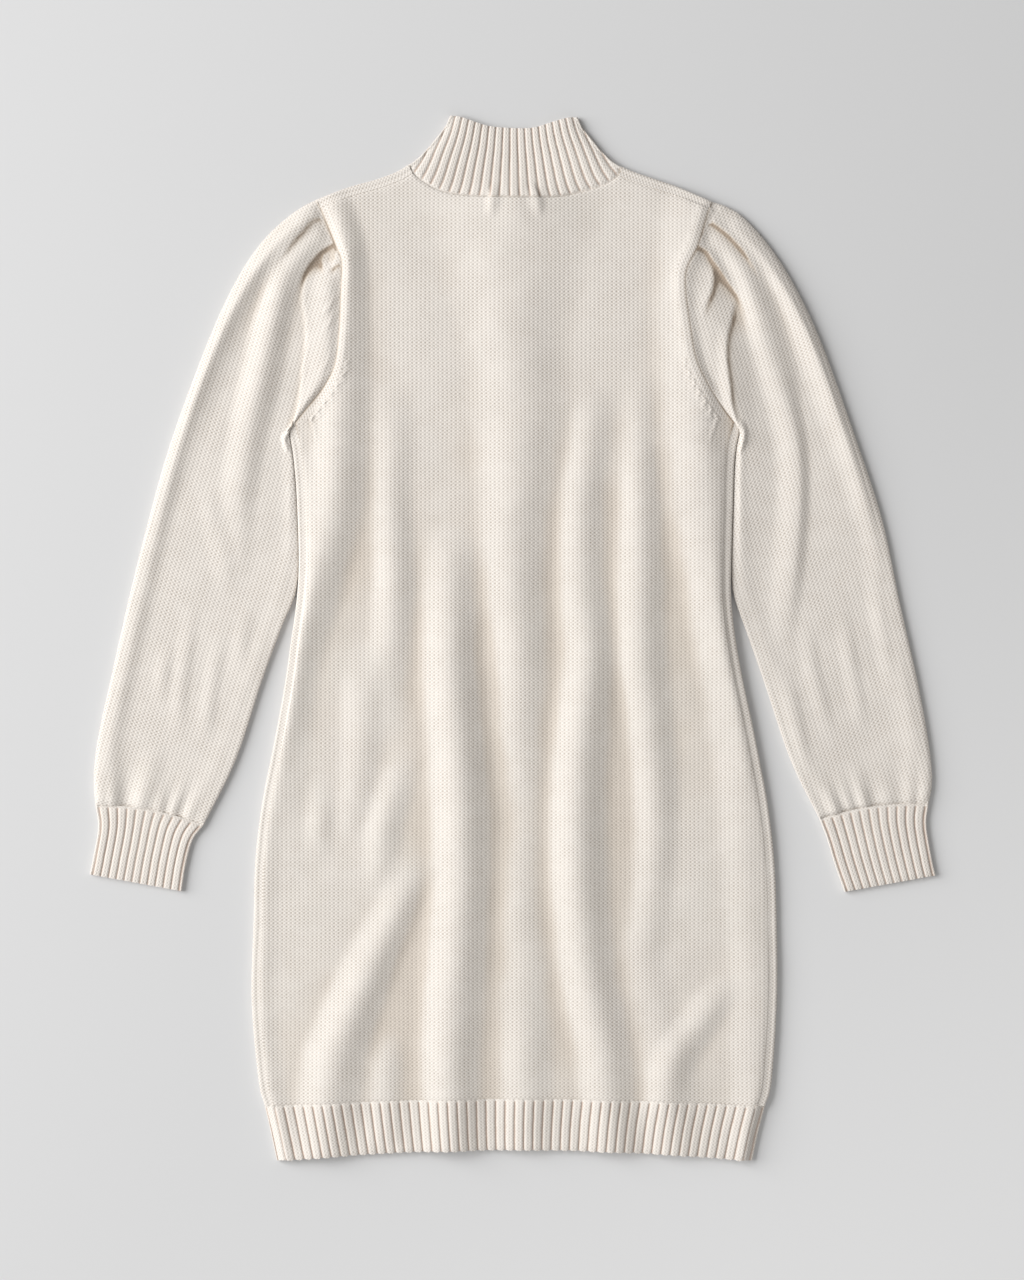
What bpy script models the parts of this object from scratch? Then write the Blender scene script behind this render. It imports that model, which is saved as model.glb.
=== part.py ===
"""A knitted sweater dress with puff sleeves and a ribbed mock neck, laid flat on its front.

The dress lies on z = 0 with its back up, its collar towards +Y and the wearer's left sleeve at -X.
Each cut piece is a wall of knit. The front is the bottom layer and wraps round the sides and the
shoulders onto the top, where it meets the back. Sleeves, cuffs and collar are flattened tubes.

Lengths are in millimetres and each mesh is made in metres. Run it in Blender 4.5.
"""

import math
from collections import namedtuple
from functools import partial

import bmesh
import bpy
import numpy as np
from mathutils import Vector

MM = 0.001

# The cloth
WALL = 2.5  # thickness of the knit
SLACK = 0.4  # air between two layers that lie on each other
SEAM = 0.3  # gap between two pieces at a seam
END_CLEAR = 2.0  # what the gap grows by at a seam's ends, where it runs out over a rolled edge
CORNER_INSET = 1.6  # how far the front's rolled edge stays back from the armhole's lower end
TOP = 2 * WALL + SLACK  # height of the upper layer's outer face
RIM = 7.6  # height of a rolled edge, which springs open a little
ROLL = 3.6  # how far a rolled edge reaches past the flat cloth below it
UNDERARM_ROLL = 6.0  # the same where the armhole's seam crosses the side's fold aslant
WRAP = 8.5  # how far the front wraps onto the top at sides and shoulders
ASLANT = 1.5  # what the wrap grows by at the underarm, where the armhole's seam crosses it aslant
EDGE_STATION = 9.0  # a tube's last station on top before its rolled edge, from the edge
EDGE_RISE = 0.5  # height of that station over the flat cloth
TANGENT = 2.0  # half the length over which a curve's direction is read

# The pleats in the sleeve heads
PLEAT_TOP = TOP + 2 * (WALL + 0.5)  # a pleat is three layers deep
PLEAT_CLIMB = 9.0  # length over which the cloth climbs onto its own fold

LEFT, RIGHT = -1, 1

# Half the body's outline: y, the left and right edges, and how far the row bows up in its middle
BodyRow = namedtuple("BodyRow", "y left right bow")
BODY_ROWS = [
    BodyRow(178, -201.3, 202.8, 0),
    BodyRow(124, -194.1, 198.3, 0),
    BodyRow(70, -192.3, 196.5, 0),
    BodyRow(34, -194.1, 196.5, 0),
    BodyRow(-2, -199.1, 200.5, 0.4),
    BodyRow(-38, -204.2, 207.0, 0.8),
    BodyRow(-74, -210.5, 214.8, 1.2),
    BodyRow(-110, -217.6, 222.0, 1.6),
    BodyRow(-150, -225.4, 229.4, 2.0),
    BodyRow(-200, -231.2, 235.2, 2.8),
    BodyRow(-254, -232.8, 237.4, 3.6),
    BodyRow(-326, -234.6, 237.6, 4.8),
    BodyRow(-398, -228.3, 232.8, 6.0),
    BodyRow(-420.3, -222.9, 227.0, 6.3),
]
HEM_ROWS = [
    BodyRow(-420.3, -222.9, 227.0, 6.3),
    BodyRow(-445, -217.4, 220.6, 8.0),
    BodyRow(-469.5, -212.1, 215.4, 9.6),
]

# Seams and edges in the upper body, each from the shoulder down or from left to right
ARMHOLE = {
    LEFT: [(-176.1, 394.2), (-167.6, 373.0), (-159.0, 351.9), (-153.6, 337.5), (-154.5, 308.7),
           (-155.8, 276.3), (-159.9, 244.8), (-170.2, 225.0), (-184.5, 207.3), (-202.2, 185.4)],
    RIGHT: [(178.5, 392.4), (172.4, 373.0), (165.9, 351.9), (156.0, 331.2), (155.1, 312.3),
            (158.7, 284.4), (164.1, 252.5), (174.0, 230.0), (188.4, 207.5), (205.5, 186.0)],
}
SHOULDER = {
    LEFT: [(-176.1, 394.2), (-148.2, 404.9), (-122.1, 412.4), (-104.1, 419.2), (-93.3, 425.7)],
    RIGHT: [(178.5, 392.4), (150.6, 404.6), (129.9, 411.8), (109.2, 419.0), (98.4, 423.6)],
}
BACK_NECK = [(-93.3, 425.7), (-88.8, 416.1), (-70.8, 403.7), (-52.8, 398.2), (-32.6, 396.0), (-5.1, 395.1),
             (22.8, 395.1), (43.5, 396.0), (64.2, 400.9), (82.0, 407.0), (94.6, 414.4), (98.4, 423.6)]
FRONT_NECK = [(-93.3, 425.7), (-84.0, 394.0), (-48.0, 359.0), (2.5, 347.0), (53.0, 359.0), (89.0, 393.0),
              (98.4, 423.6)]
COLLAR_TOP = [(-56.0, 469.5), (-46.5, 468.2), (-24.0, 460.8), (-5.1, 458.7), (17.4, 458.7),
              (36.3, 464.0), (48.9, 467.5), (58.4, 468.0)]
COLLAR_SIDE = {
    LEFT: [(-93.3, 425.7), (-83.4, 432.9), (-72.6, 445.0), (-62.7, 457.2), (-56.0, 469.5)],
    RIGHT: [(98.4, 423.6), (87.6, 430.2), (76.3, 442.3), (64.2, 457.2), (58.4, 468.0)],
}

# The sleeves' two long edges, from the armhole to the cuff, and the cuffs'
SLEEVE_OUTER = {
    LEFT: [(-176.1, 394.2), (-195.9, 383.4), (-223.8, 358.2), (-248.1, 322.2), (-273.3, 268.2),
           (-306.6, 178.2), (-327.3, 106.2), (-345.3, 34.2), (-361.5, -37.8), (-373.2, -91.8),
           (-376.8, -127.8), (-375.0, -150.3)],
    RIGHT: [(178.5, 392.4), (201.0, 383.4), (226.2, 358.2), (250.5, 322.2), (276.6, 268.2),
            (309.0, 178.2), (332.4, 106.2), (347.7, 34.2), (363.9, -37.8), (373.8, -91.8),
            (377.4, -127.8), (373.9, -149.4)],
}
SLEEVE_INNER = {
    LEFT: [(-202.6, 185.6), (-204.4, 172.0), (-195.2, 124.2), (-193.4, 70.2), (-196.2, 40.0),
           (-206.2, 16.2), (-225.2, -37.8), (-249.0, -109.8), (-277.8, -168.3)],
    RIGHT: [(205.9, 186.2), (206.9, 172.0), (199.4, 124.2), (197.8, 70.2), (200.6, 40.0),
            (208.0, 12.0), (225.4, -37.8), (249.8, -109.8), (275.7, -162.9)],
}
CUFF_OUTER = {
    LEFT: [(-375.0, -150.3), (-372.6, -170.0), (-377.0, -197.0), (-380.2, -212.4)],
    RIGHT: [(373.9, -149.4), (372.0, -168.0), (376.6, -197.0), (380.2, -213.3)],
}
CUFF_INNER = {
    LEFT: [(-277.8, -168.3), (-287.7, -181.8), (-293.8, -204.0), (-297.6, -227.7)],
    RIGHT: [(275.7, -162.9), (282.9, -181.8), (289.6, -204.0), (298.2, -228.2)],
}
CUFF_BOW = 5.0  # the cuff seam curves this far up the sleeve in its middle

# Rows along a sleeve, as shares of its edges' lengths, and how far a pleat is folded and raised there
SleeveRow = namedtuple("SleeveRow", "along folded raised")
SLEEVE_ROWS = [
    SleeveRow(0.00, 1.0, 1.0),
    SleeveRow(0.04, 0.8, 1.0),
    SleeveRow(0.08, 0.2, 1.0),
    SleeveRow(0.12, 0.0, 0.9),
    SleeveRow(0.17, 0.0, 0.7),
    SleeveRow(0.23, 0.0, 0.5),
    SleeveRow(0.31, 0.0, 0.36),
    SleeveRow(0.40, 0.0, 0.24),
    SleeveRow(0.51, 0.0, 0.12),
    SleeveRow(0.66, 0.0, 0.0),
    SleeveRow(0.84, 0.0, 0.0),
    SleeveRow(1.00, 0.0, 0.0),
]
PLEAT_SPREADS = 0.4  # below this rise, a pleat's points move apart until they are evenly spaced
PLEATS_END = 0.5  # share of the sleeve over which the pleats' lips drift to their last place
GRID_STEPS = 24  # of the plane grid that a sleeve's rows are read from

# A pleat's lip across the sleeve head, from the shoulder fold: at the seam and where it fades out
Pleat = namedtuple("Pleat", "lip_at_seam lip_at_end overlap")
PLEATS = {
    LEFT: [Pleat(0.11, 0.16, 12.0), Pleat(0.27, 0.36, 12.0)],
    RIGHT: [Pleat(0.12, 0.18, 12.0), Pleat(0.26, 0.38, 12.0)],
}

# Long folds in the back: height, half width, where each starts and ends, and its crest as (y, x)
Fold = namedtuple("Fold", "height half_width start end crest")
FOLDS = [
    Fold(2.4, 20, 214, -30, [(420, -85.0), (205, -107.7), (-30, -106.0), (-420, -118.0)]),
    Fold(3.4, 20, 84, -420, [(420, -42.0), (45, -54.6), (-110, -44.7), (-236, -47.4), (-326, -54.6), (-420, -53.7)]),
    Fold(1.6, 24, 310, -110, [(420, 2.5), (304, 4.8), (-110, 4.8), (-420, 8.0)]),
    Fold(2.8, 18, 214, -420, [(420, 46.0), (187, 62.4), (52, 63.0), (21, 69.0), (-56, 57.9), (-191, 55.2),
                              (-281, 62.4), (-371, 82.2), (-420, 88.0)]),
    Fold(2.6, 18, 214, -182, [(420, 90.0), (214, 113.7), (70, 113.7), (-56, 120.9), (-146, 131.7), (-420, 142.0)]),
]
SIDE_DRAPE = Fold(2.2, 22, -206, -416, [(-206, -84.0), (-287, -129.0), (-349, -160.0), (-416, -164.0)])
FADE = 45.0  # length over which a fold rises at its ends
ARMHOLE_ROLL = 2.4  # height of the soft roll beside each armhole seam
ARMHOLE_ROLL_IN = 9.0  # its distance from the seam

BACK_COLUMNS = [4, 4, 4, 4, 4, 5]  # columns between the left seam, each fold's crest and the right seam
BACK_SHOULDER_COLUMNS = 7  # of which this many end on each shoulder, and the others on the neck's chords
FRONT_COLUMNS = 12
FRONT_SHOULDER_COLUMNS = 3
ROLL_STEPS = 4  # facets round a rolled edge


def mix(first, second, share):
    """The value this share of the way from first to second, for numbers and vectors."""
    return first + (second - first) * share


def ease(share):
    """A smooth step from 0 to 1."""
    share = min(1.0, max(0.0, share))
    return share * share * (3 - 2 * share)


def smooth_line(points, steps=8):
    """Points along a smooth curve through the given points."""
    knots = [Vector(point) for point in points]
    knots = [2 * knots[0] - knots[1]] + knots + [2 * knots[-1] - knots[-2]]
    line = []
    for before, start, end, after in zip(knots, knots[1:], knots[2:], knots[3:]):
        for step in range(steps):
            t = step / steps
            line.append(0.5 * (2 * start + (end - before) * t + (2 * before - 5 * start + 4 * end - after) * t**2
                               + (3 * start - before - 3 * end + after) * t**3))
    return line + [knots[-2]]


class Line:
    """A plane curve that is read by its length: smooth, or straight from point to point."""

    def __init__(self, points, smooth=True):
        self.points = smooth_line(points) if smooth else [Vector(point) for point in points]
        self.at = [0.0]
        for start, end in zip(self.points, self.points[1:]):
            self.at.append(self.at[-1] + (end - start).length)
        self.length = self.at[-1]

    def point(self, distance):
        """The point at a distance along the curve."""
        distance = min(self.length, max(0.0, distance))
        index = next(i for i in range(1, len(self.at)) if self.at[i] >= distance - 1e-9)
        span = self.at[index] - self.at[index - 1]
        return mix(self.points[index - 1], self.points[index], (distance - self.at[index - 1]) / span)

    def share(self, share):
        """The point at a share of the curve's length."""
        return self.point(self.length * share)

    def aside(self, distance, offset):
        """The point at a distance along the curve, moved to the left of its direction by offset."""
        ahead = self.point(distance + TANGENT) - self.point(distance - TANGENT)
        return self.point(distance) + Vector((-ahead.y, ahead.x)).normalized() * offset


def read_table(pairs, key):
    """The value at key in a table of (key, value) pairs with falling keys."""
    if key >= pairs[0][0]:
        return pairs[0][1]
    for (high, first), (low, second) in zip(pairs, pairs[1:]):
        if key >= low:
            return mix(first, second, ease((high - key) / (high - low)))
    return pairs[-1][1]


def raised(point, z):
    """A plane point at a height, in metres."""
    return Vector((point.x, point.y, z)) * MM


def add_patch(mesh, rows):
    """Adds a grid of faces through rows of points."""
    wide, tall = len(rows[0]) - 1, len(rows) - 1
    made = bmesh.ops.create_grid(mesh, x_segments=wide, y_segments=tall, size=1.0)["verts"]
    for vertex in made:
        column = round((vertex.co.x + 1) / 2 * wide)
        row = round((vertex.co.y + 1) / 2 * tall)
        vertex.co = rows[row][column]


def face_outwards(mesh):
    """Turns the cloth's faces to its outer side, which is down in the bottom layer and up elsewhere."""
    mesh.normal_update()
    bmesh.ops.recalc_face_normals(mesh, faces=mesh.faces)
    mesh.normal_update()
    on_floor = [face for face in mesh.faces if face.calc_center_median().z < 0.1 * MM]
    facing = sum(face.normal.z * face.calc_area() for face in on_floor or mesh.faces)
    if (facing > 0) == bool(on_floor):
        bmesh.ops.reverse_faces(mesh, faces=mesh.faces)


def make_piece(name, patches, finish, collection, closed=False):
    """A cut piece of one or more patches. An open surface is given its thickness on its inner side."""
    mesh = bmesh.new()
    for rows in patches:
        add_patch(mesh, rows)
    bmesh.ops.remove_doubles(mesh, verts=mesh.verts, dist=0.00001)
    face_outwards(mesh)
    data = bpy.data.meshes.new(name)
    mesh.to_mesh(data)
    mesh.free()
    data.shade_smooth()
    data.materials.append(finish)
    piece = bpy.data.objects.new(name, data)
    collection.objects.link(piece)
    if not closed:
        wall = piece.modifiers.new("Wall", "SOLIDIFY")
        wall.thickness = WALL * MM
        wall.offset = -1
        wall.use_even_offset = True
        wall.use_quality_normals = True


def knit_finish(name, colour):
    """Pale matte knit."""
    finish = bpy.data.materials.new(name)
    finish.use_nodes = True
    shader = finish.node_tree.nodes["Principled BSDF"]
    shader.inputs["Base Color"].default_value = (*colour, 1.0)
    shader.inputs["Roughness"].default_value = 0.95
    shader.inputs["Metallic"].default_value = 0.0
    return finish


def even_rows(bottom, top, left, right, shares):
    """Rows that fill the space between four borders, with columns at the given shares."""
    count = len(left) - 1
    rows = []
    for i in range(count + 1):
        up = i / count
        left_bulge = left[i] - mix(left[0], left[-1], up)
        right_bulge = right[i] - mix(right[0], right[-1], up)
        rows.append([mix(low, high, up) + mix(left_bulge, right_bulge, share)
                     for low, high, share in zip(bottom, top, shares)])
    return rows


def shoulder_and_neck(side_lines, neck, inset):
    """The top border of a panel, from left to right, with corners where the neck starts and ends."""
    ends = neck.point(inset), neck.point(neck.length - inset)
    return side_lines[LEFT][:-1] + [ends[0]] + neck.points[1:-1] + [ends[1]] + side_lines[RIGHT][-2::-1]


def shoulder_insets(side, neck, inset, count, armhole):
    """Points beside the shoulder's fold, moved in by inset, from the armhole seam to the neck seam."""
    fold = Line(SHOULDER[side])
    line = [fold.aside(fold.length * i / count, side * inset) for i in range(count + 1)]
    line[0] = armhole.point(inset)
    line[-1] = neck.point(inset if side == LEFT else neck.length - inset)
    return line


def tube_clear(share):
    """How far a tube keeps from a seam's line at a share of its length."""
    return SEAM / 2 + END_CLEAR * abs(2 * share - 1) ** 6


def moved_chords(points, offset_at):
    """A seam as chords through its points, moved aside by an offset that is read at a share of its length."""
    seam = Line(points, smooth=False)
    return Line([seam.aside(distance, offset_at(distance / seam.length)) for distance in seam.at], smooth=False)


def seam_curves(towards_body):
    """Both armhole seams, as chords moved by their part of the gap towards the body or the sleeve."""
    return {side: moved_chords(ARMHOLE[side], lambda share, side=side: side * (-SEAM / 2 if towards_body
                                                                              else tube_clear(share)))
            for side in (LEFT, RIGHT)}


def seam_border(seam, underarm_inset, shoulder_inset):
    """A panel's border along an armhole seam, from underarm to shoulder, with a point at each chord's end."""
    ends = seam.point(seam.length - underarm_inset), seam.point(shoulder_inset)
    return [ends[0]] + seam.points[-2:0:-1] + [ends[1]]


def side_points(row, side, inset):
    """The point beside the body's edge in one row, moved in by inset."""
    edge = row.left if side == LEFT else row.right
    return Vector((edge - side * inset, row.y))


def roll_over(base, extreme, seam, seam_height=TOP):
    """The cross-section of a rolled edge: from the bottom layer round the fold and on to the seam."""
    points = []
    for step in range(ROLL_STEPS + 1):
        turn = math.pi * step / ROLL_STEPS
        points.append(raised(mix(base, extreme, math.sin(turn)), RIM / 2 * (1 - math.cos(turn))))
    points.append(raised(mix(base, seam, 0.5), mix(RIM, seam_height, 0.55)))
    points.append(raised(seam, seam_height))
    return points


def bowed(left, right, shares, bow):
    """A row of plane points across the body, raised in its middle by bow."""
    return [mix(left, right, share) + Vector((0, 4 * bow * share * (1 - share))) for share in shares]


def fold_rise(fold, x, y):
    """How far one fold lifts the cloth at a point."""
    away = abs(x - read_table(fold.crest, y)) / fold.half_width
    if away >= 1:
        return 0.0
    run = ease((fold.start - y) / FADE) * (ease((y - fold.end) / FADE) if fold.end > -400 else 1.0)
    return fold.height * 0.5 * (1 + math.cos(math.pi * away)) * run


def back_height(point, armholes):
    """The height of the back's outer face."""
    rise = sum(fold_rise(fold, point.x, point.y) for fold in FOLDS + [SIDE_DRAPE])
    for seam in armholes.values():
        if point.y > 190:
            away = min((point - seam.share(i / 40)).length for i in range(41))
            rise += ARMHOLE_ROLL * math.exp(-((away - ARMHOLE_ROLL_IN) / 6) ** 2)
    return TOP + min(rise, 3.4)


def front_pieces(collection, finish):
    """The front panel and its hem rib, with the strips that wrap round the sides and shoulders."""
    armholes = seam_curves(towards_body=True)
    neck = moved_chords(FRONT_NECK, lambda share: -SEAM / 2)
    back_neck = moved_chords(BACK_NECK, lambda share: -SEAM / 2)
    shares = [i / FRONT_COLUMNS for i in range(FRONT_COLUMNS + 1)]

    # The flat layer, from the hem seam to the underarms and on to the shoulders
    seam_row = BODY_ROWS[-1]._replace(y=BODY_ROWS[-1].y + SEAM)
    lower = BODY_ROWS[:-1] + [seam_row]
    flat = [bowed(side_points(row, LEFT, ROLL), side_points(row, RIGHT, ROLL), shares, row.bow)
            for row in reversed(lower)]
    borders = {side: seam_border(armholes[side], UNDERARM_ROLL, ROLL) for side in (LEFT, RIGHT)}
    crossing = bowed(borders[LEFT][0], borders[RIGHT][0], shares, 0)
    bases = {side: shoulder_insets(side, neck, ROLL, FRONT_SHOULDER_COLUMNS, armholes[side])
             for side in (LEFT, RIGHT)}
    top = shoulder_and_neck(bases, neck, ROLL)
    top[0], top[-1] = borders[LEFT][-1], borders[RIGHT][-1]
    upper = even_rows(crossing, top, borders[LEFT], borders[RIGHT], shares)
    patches = [[[raised(point, 0) for point in row] for row in flat + upper]]

    # The strips round the sides
    for side in (LEFT, RIGHT):
        hole = armholes[side]
        strip = [roll_over(*(side_points(row, side, inset) for inset in (ROLL, 0, WRAP))) for row in reversed(lower)]
        base, seam = (hole.point(hole.length - inset) for inset in (UNDERARM_ROLL, WRAP + ASLANT))
        strip.append(roll_over(base, hole.point(hole.length - CORNER_INSET), seam))
        patches.append(strip)

    # The strips round the shoulders
    for side in (LEFT, RIGHT):
        fold = Line(SHOULDER[side])
        base = top[:FRONT_SHOULDER_COLUMNS + 1] if side == LEFT else top[:-FRONT_SHOULDER_COLUMNS - 2:-1]
        seam = shoulder_insets(side, back_neck, WRAP, FRONT_SHOULDER_COLUMNS, armholes[side])
        strip = []
        for i, (low, high) in enumerate(zip(base, seam)):
            strip.append(roll_over(low, fold.share(i / FRONT_SHOULDER_COLUMNS), high))
        patches.append(strip)
    make_piece("front_panel", patches, finish, collection)

    # The front's half of the hem rib
    rows = [HEM_ROWS[0]._replace(y=HEM_ROWS[0].y - SEAM)] + HEM_ROWS[1:]
    flat = [bowed(side_points(row, LEFT, ROLL), side_points(row, RIGHT, ROLL), shares, row.bow)
            for row in reversed(rows)]
    patches = [[[raised(point, 0) for point in row] for row in flat]]
    for side in (LEFT, RIGHT):
        strip = [roll_over(*(side_points(row, side, inset) for inset in (ROLL, 0, WRAP))) for row in reversed(rows)]
        patches.append(strip)
    make_piece("front_hem_rib", patches, finish, collection)


def crest_shares(y, left, right):
    """Where the back's columns cross a row: one on each fold's crest and the others evenly between."""
    stops = [left] + [read_table(fold.crest, y) for fold in FOLDS] + [right]
    shares = [0.0]
    for start, end, count in zip(stops, stops[1:], BACK_COLUMNS):
        shares += [(mix(start, end, (i + 1) / count) - left) / (right - left) for i in range(count)]
    return shares


def back_pieces(collection, finish):
    """The back panel and its hem rib, which lie on the front between the wrapped strips."""
    inset = WRAP + SEAM
    armholes = seam_curves(towards_body=True)
    neck = moved_chords(BACK_NECK, lambda share: -SEAM / 2)

    def row_points(row):
        left, right = side_points(row, LEFT, inset), side_points(row, RIGHT, inset)
        return bowed(left, right, crest_shares(row.y, left.x, right.x), row.bow)

    lower = BODY_ROWS[:-1] + [BODY_ROWS[-1]._replace(y=BODY_ROWS[-1].y + SEAM / 2)]
    rows = [row_points(row) for row in reversed(lower)]
    borders = {side: seam_border(armholes[side], inset + ASLANT, inset) for side in (LEFT, RIGHT)}
    left, right = borders[LEFT][0], borders[RIGHT][0]
    shares = crest_shares(left.y, left.x, right.x)
    crossing = bowed(left, right, shares, 0)
    shoulders = {side: shoulder_insets(side, neck, inset, BACK_SHOULDER_COLUMNS, armholes[side])
                 for side in (LEFT, RIGHT)}
    top = shoulder_and_neck(shoulders, neck, inset)
    top[0], top[-1] = borders[LEFT][-1], borders[RIGHT][-1]
    rows += even_rows(crossing, top, borders[LEFT], borders[RIGHT], shares)
    patch = []
    for row in rows:
        heights = [TOP] + [back_height(point, armholes) for point in row[1:-1]] + [TOP]
        patch.append([raised(point, z) for point, z in zip(row, heights)])
    patch[-1] = [raised(point, TOP) for point in rows[-1]]
    make_piece("back_panel", [patch], finish, collection)

    hem = [HEM_ROWS[0]._replace(y=HEM_ROWS[0].y - SEAM / 2)] + HEM_ROWS[1:]
    patch = [[raised(point, back_height(point, {})) for point in row_points(row)] for row in reversed(hem)]
    make_piece("back_hem_rib", [patch], finish, collection)


def pleat_profile(width, lip, overlap, row):
    """A pleat in section, as (distance across, height): up onto the fold, round its lip and back under."""
    folded, level = row.folded, mix(TOP, PLEAT_TOP, row.raised)
    under = mix(0.4, -overlap, folded)
    spread = 1 - row.raised
    behind = -overlap * folded - WALL - 0.8 - 4 * spread
    points = [
        (behind - PLEAT_CLIMB, TOP),
        (behind, level),
        (-1.6 - 1.5 * spread, level + 0.2 * row.raised),
        (0.0, mix(TOP, (PLEAT_TOP + TOP) / 2 + 0.2, row.raised)),
        (mix(0.2 + 2 * spread, -1.6, folded), TOP + 0.5 * row.raised),
        (mix(under + 0.8 + 4 * spread, under, folded), TOP + 0.5 * row.raised * mix(0.3, 1, folded)),
        (mix(under + 2.4 + 6 * spread, under, folded), TOP),
        (6.0 + 3 * spread, TOP),
    ]
    return [(lip * width + across, z) for across, z in points]


def tube_section(width, top_points, bottom_shares, outer_roll=ROLL, inner_roll=ROLL):
    """A flattened tube in section: (side, share across, height) round it, from the inner fold over the top.

    top_points are (distance from the outer edge, height) from the outer edge inwards. bottom_shares are the
    stations across the bottom layer, between the two rolled edges.
    """
    outer_roll, inner_roll = outer_roll / width, inner_roll / width
    section = []
    for step in range(1, ROLL_STEPS):
        turn = math.pi * step / ROLL_STEPS
        section.append(("any", 1 - inner_roll * (1 - math.sin(turn)), RIM / 2 * (1 - math.cos(turn))))
    section.append(("top", 1 - inner_roll, RIM))
    section += [("top", across / width, z) for across, z in reversed(top_points)]
    section.append(("top", outer_roll, RIM))
    for step in range(1, ROLL_STEPS):
        turn = math.pi * (1 - step / ROLL_STEPS)
        section.append(("any", outer_roll * (1 - math.sin(turn)), RIM / 2 * (1 - math.cos(turn))))
    section += [("bottom", share, 0.0) for share in [outer_roll, *bottom_shares, 1 - inner_roll]]
    return section


def even(count):
    """The shares that split a length into count parts, without its ends."""
    return [i / count for i in range(1, count)]


def inner_shares(line):
    """The shares at which a line's own points lie, without its ends."""
    return [distance / line.length for distance in line.at[1:-1]]


def inside(section, width):
    """The section of a tube's inner face: each point moved in by the wall's thickness."""
    flat = [Vector((share * width, z)) for _, share, z in section]
    moved = []
    for before, here, after, (side, _, _) in zip(flat[-1:] + flat[:-1], flat, flat[1:] + flat[:1], section):
        along = (here - before).normalized() + (after - here).normalized()
        point = here + Vector((-along.y, along.x)).normalized() * WALL
        moved.append((side, point.x / width, point.y))
    return moved


def ring(section, top_at, bottom_at):
    """The closed ring of points of a section, where each side has its own plane curve."""
    points = []
    for side, share, z in section:
        top, bottom = top_at(share), bottom_at(share)
        plane = {"top": top, "bottom": bottom, "any": mix(bottom, top, z / RIM)}[side]
        points.append(raised(plane, z))
    return points + [points[0].copy()]


def make_tube(name, slices, finish, collection):
    """A tube with a wall, through slices of (section, width, plane curve of the top, plane curve of the bottom)."""
    outer = [ring(section, top_at, bottom_at) for section, _, top_at, bottom_at in slices]
    inner = [ring(inside(section, width), top_at, bottom_at) for section, width, top_at, bottom_at in slices]
    make_piece(name, [outer + inner[::-1] + [outer[0]]], finish, collection, closed=True)


def relax(grid, rounds=400):
    """Moves a grid's inner points until its rows and columns spread smoothly and never cross."""
    for _ in range(rounds):
        down = (grid[2:, 1:-1] - grid[:-2, 1:-1]) / 2
        across = (grid[1:-1, 2:] - grid[1:-1, :-2]) / 2
        wide, tall, skew = ((first * second).sum(-1, keepdims=True)
                            for first, second in ((across, across), (down, down), (across, down)))
        twist = (grid[2:, 2:] - grid[2:, :-2] - grid[:-2, 2:] + grid[:-2, :-2]) / 4
        grid[1:-1, 1:-1] = (wide * (grid[2:, 1:-1] + grid[:-2, 1:-1]) + tall * (grid[1:-1, 2:] + grid[1:-1, :-2])
                            - 2 * skew * twist) / (2 * (wide + tall))


def sleeve_lines(seam, outer, inner):
    """A plane line across the sleeve for each of SLEEVE_ROWS, spread between the seam, both edges and the cuff."""
    up_sleeve = (outer.share(0.5) - outer.share(0.9)).normalized()
    shares = [i / GRID_STEPS for i in range(GRID_STEPS + 1)]
    cuff = [mix(outer.share(1), inner.share(1), share)
            + up_sleeve * (4 * CUFF_BOW * share * (1 - share) + SEAM / 2) for share in shares]
    top = [seam.share(share) for share in shares]
    left = [top[0]] + [outer.share(share) for share in shares[1:-1]] + [cuff[0]]
    right = [top[-1]] + [inner.share(share) for share in shares[1:-1]] + [cuff[-1]]
    grid = np.array(even_rows(top, cuff, left, right, shares))
    relax(grid)
    lines = []
    for row in SLEEVE_ROWS:
        above = min(int(row.along * GRID_STEPS), GRID_STEPS - 1)
        points = mix(grid[above], grid[above + 1], row.along * GRID_STEPS - above)
        lines.append(Line(points.tolist(), smooth=False))
    return lines


def make_sleeve(side, collection, finish):
    """One sleeve: a flat tube whose head is pleated into the armhole."""
    seam = seam_curves(towards_body=False)[side]
    lines = sleeve_lines(seam, Line(SLEEVE_OUTER[side]), Line(SLEEVE_INNER[side]))
    lines[0] = seam
    slices = []
    for row, line in zip(SLEEVE_ROWS, lines):
        width = line.length
        inner_roll = UNDERARM_ROLL if row.along == 0 else ROLL
        fade = ease(row.along / PLEATS_END)
        top = [(EDGE_STATION, TOP + EDGE_RISE)]
        for pleat in PLEATS[side]:
            lip = mix(pleat.lip_at_seam, pleat.lip_at_end, fade)
            top += pleat_profile(width, lip, pleat.overlap, row)
        last, inside = top[-1][0], width - inner_roll - 5.0
        top += [(mix(last, inside, i / 3), TOP) for i in (1, 2)] + [(inside, TOP + EDGE_RISE)]
        spread = 1 - ease(row.raised / PLEAT_SPREADS)
        top = [(mix(across, mix(EDGE_STATION, inside, i / (len(top) - 1)), spread), z) for i, (across, z) in enumerate(top)]
        bottom = inner_shares(seam) if row.along == 0 else even(len(seam.at) - 1)
        slices.append((tube_section(width, top, bottom, ROLL, inner_roll), width, line.share, line.share))
    make_tube("sleeve_left" if side == LEFT else "sleeve_right", slices, finish, collection)


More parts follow.
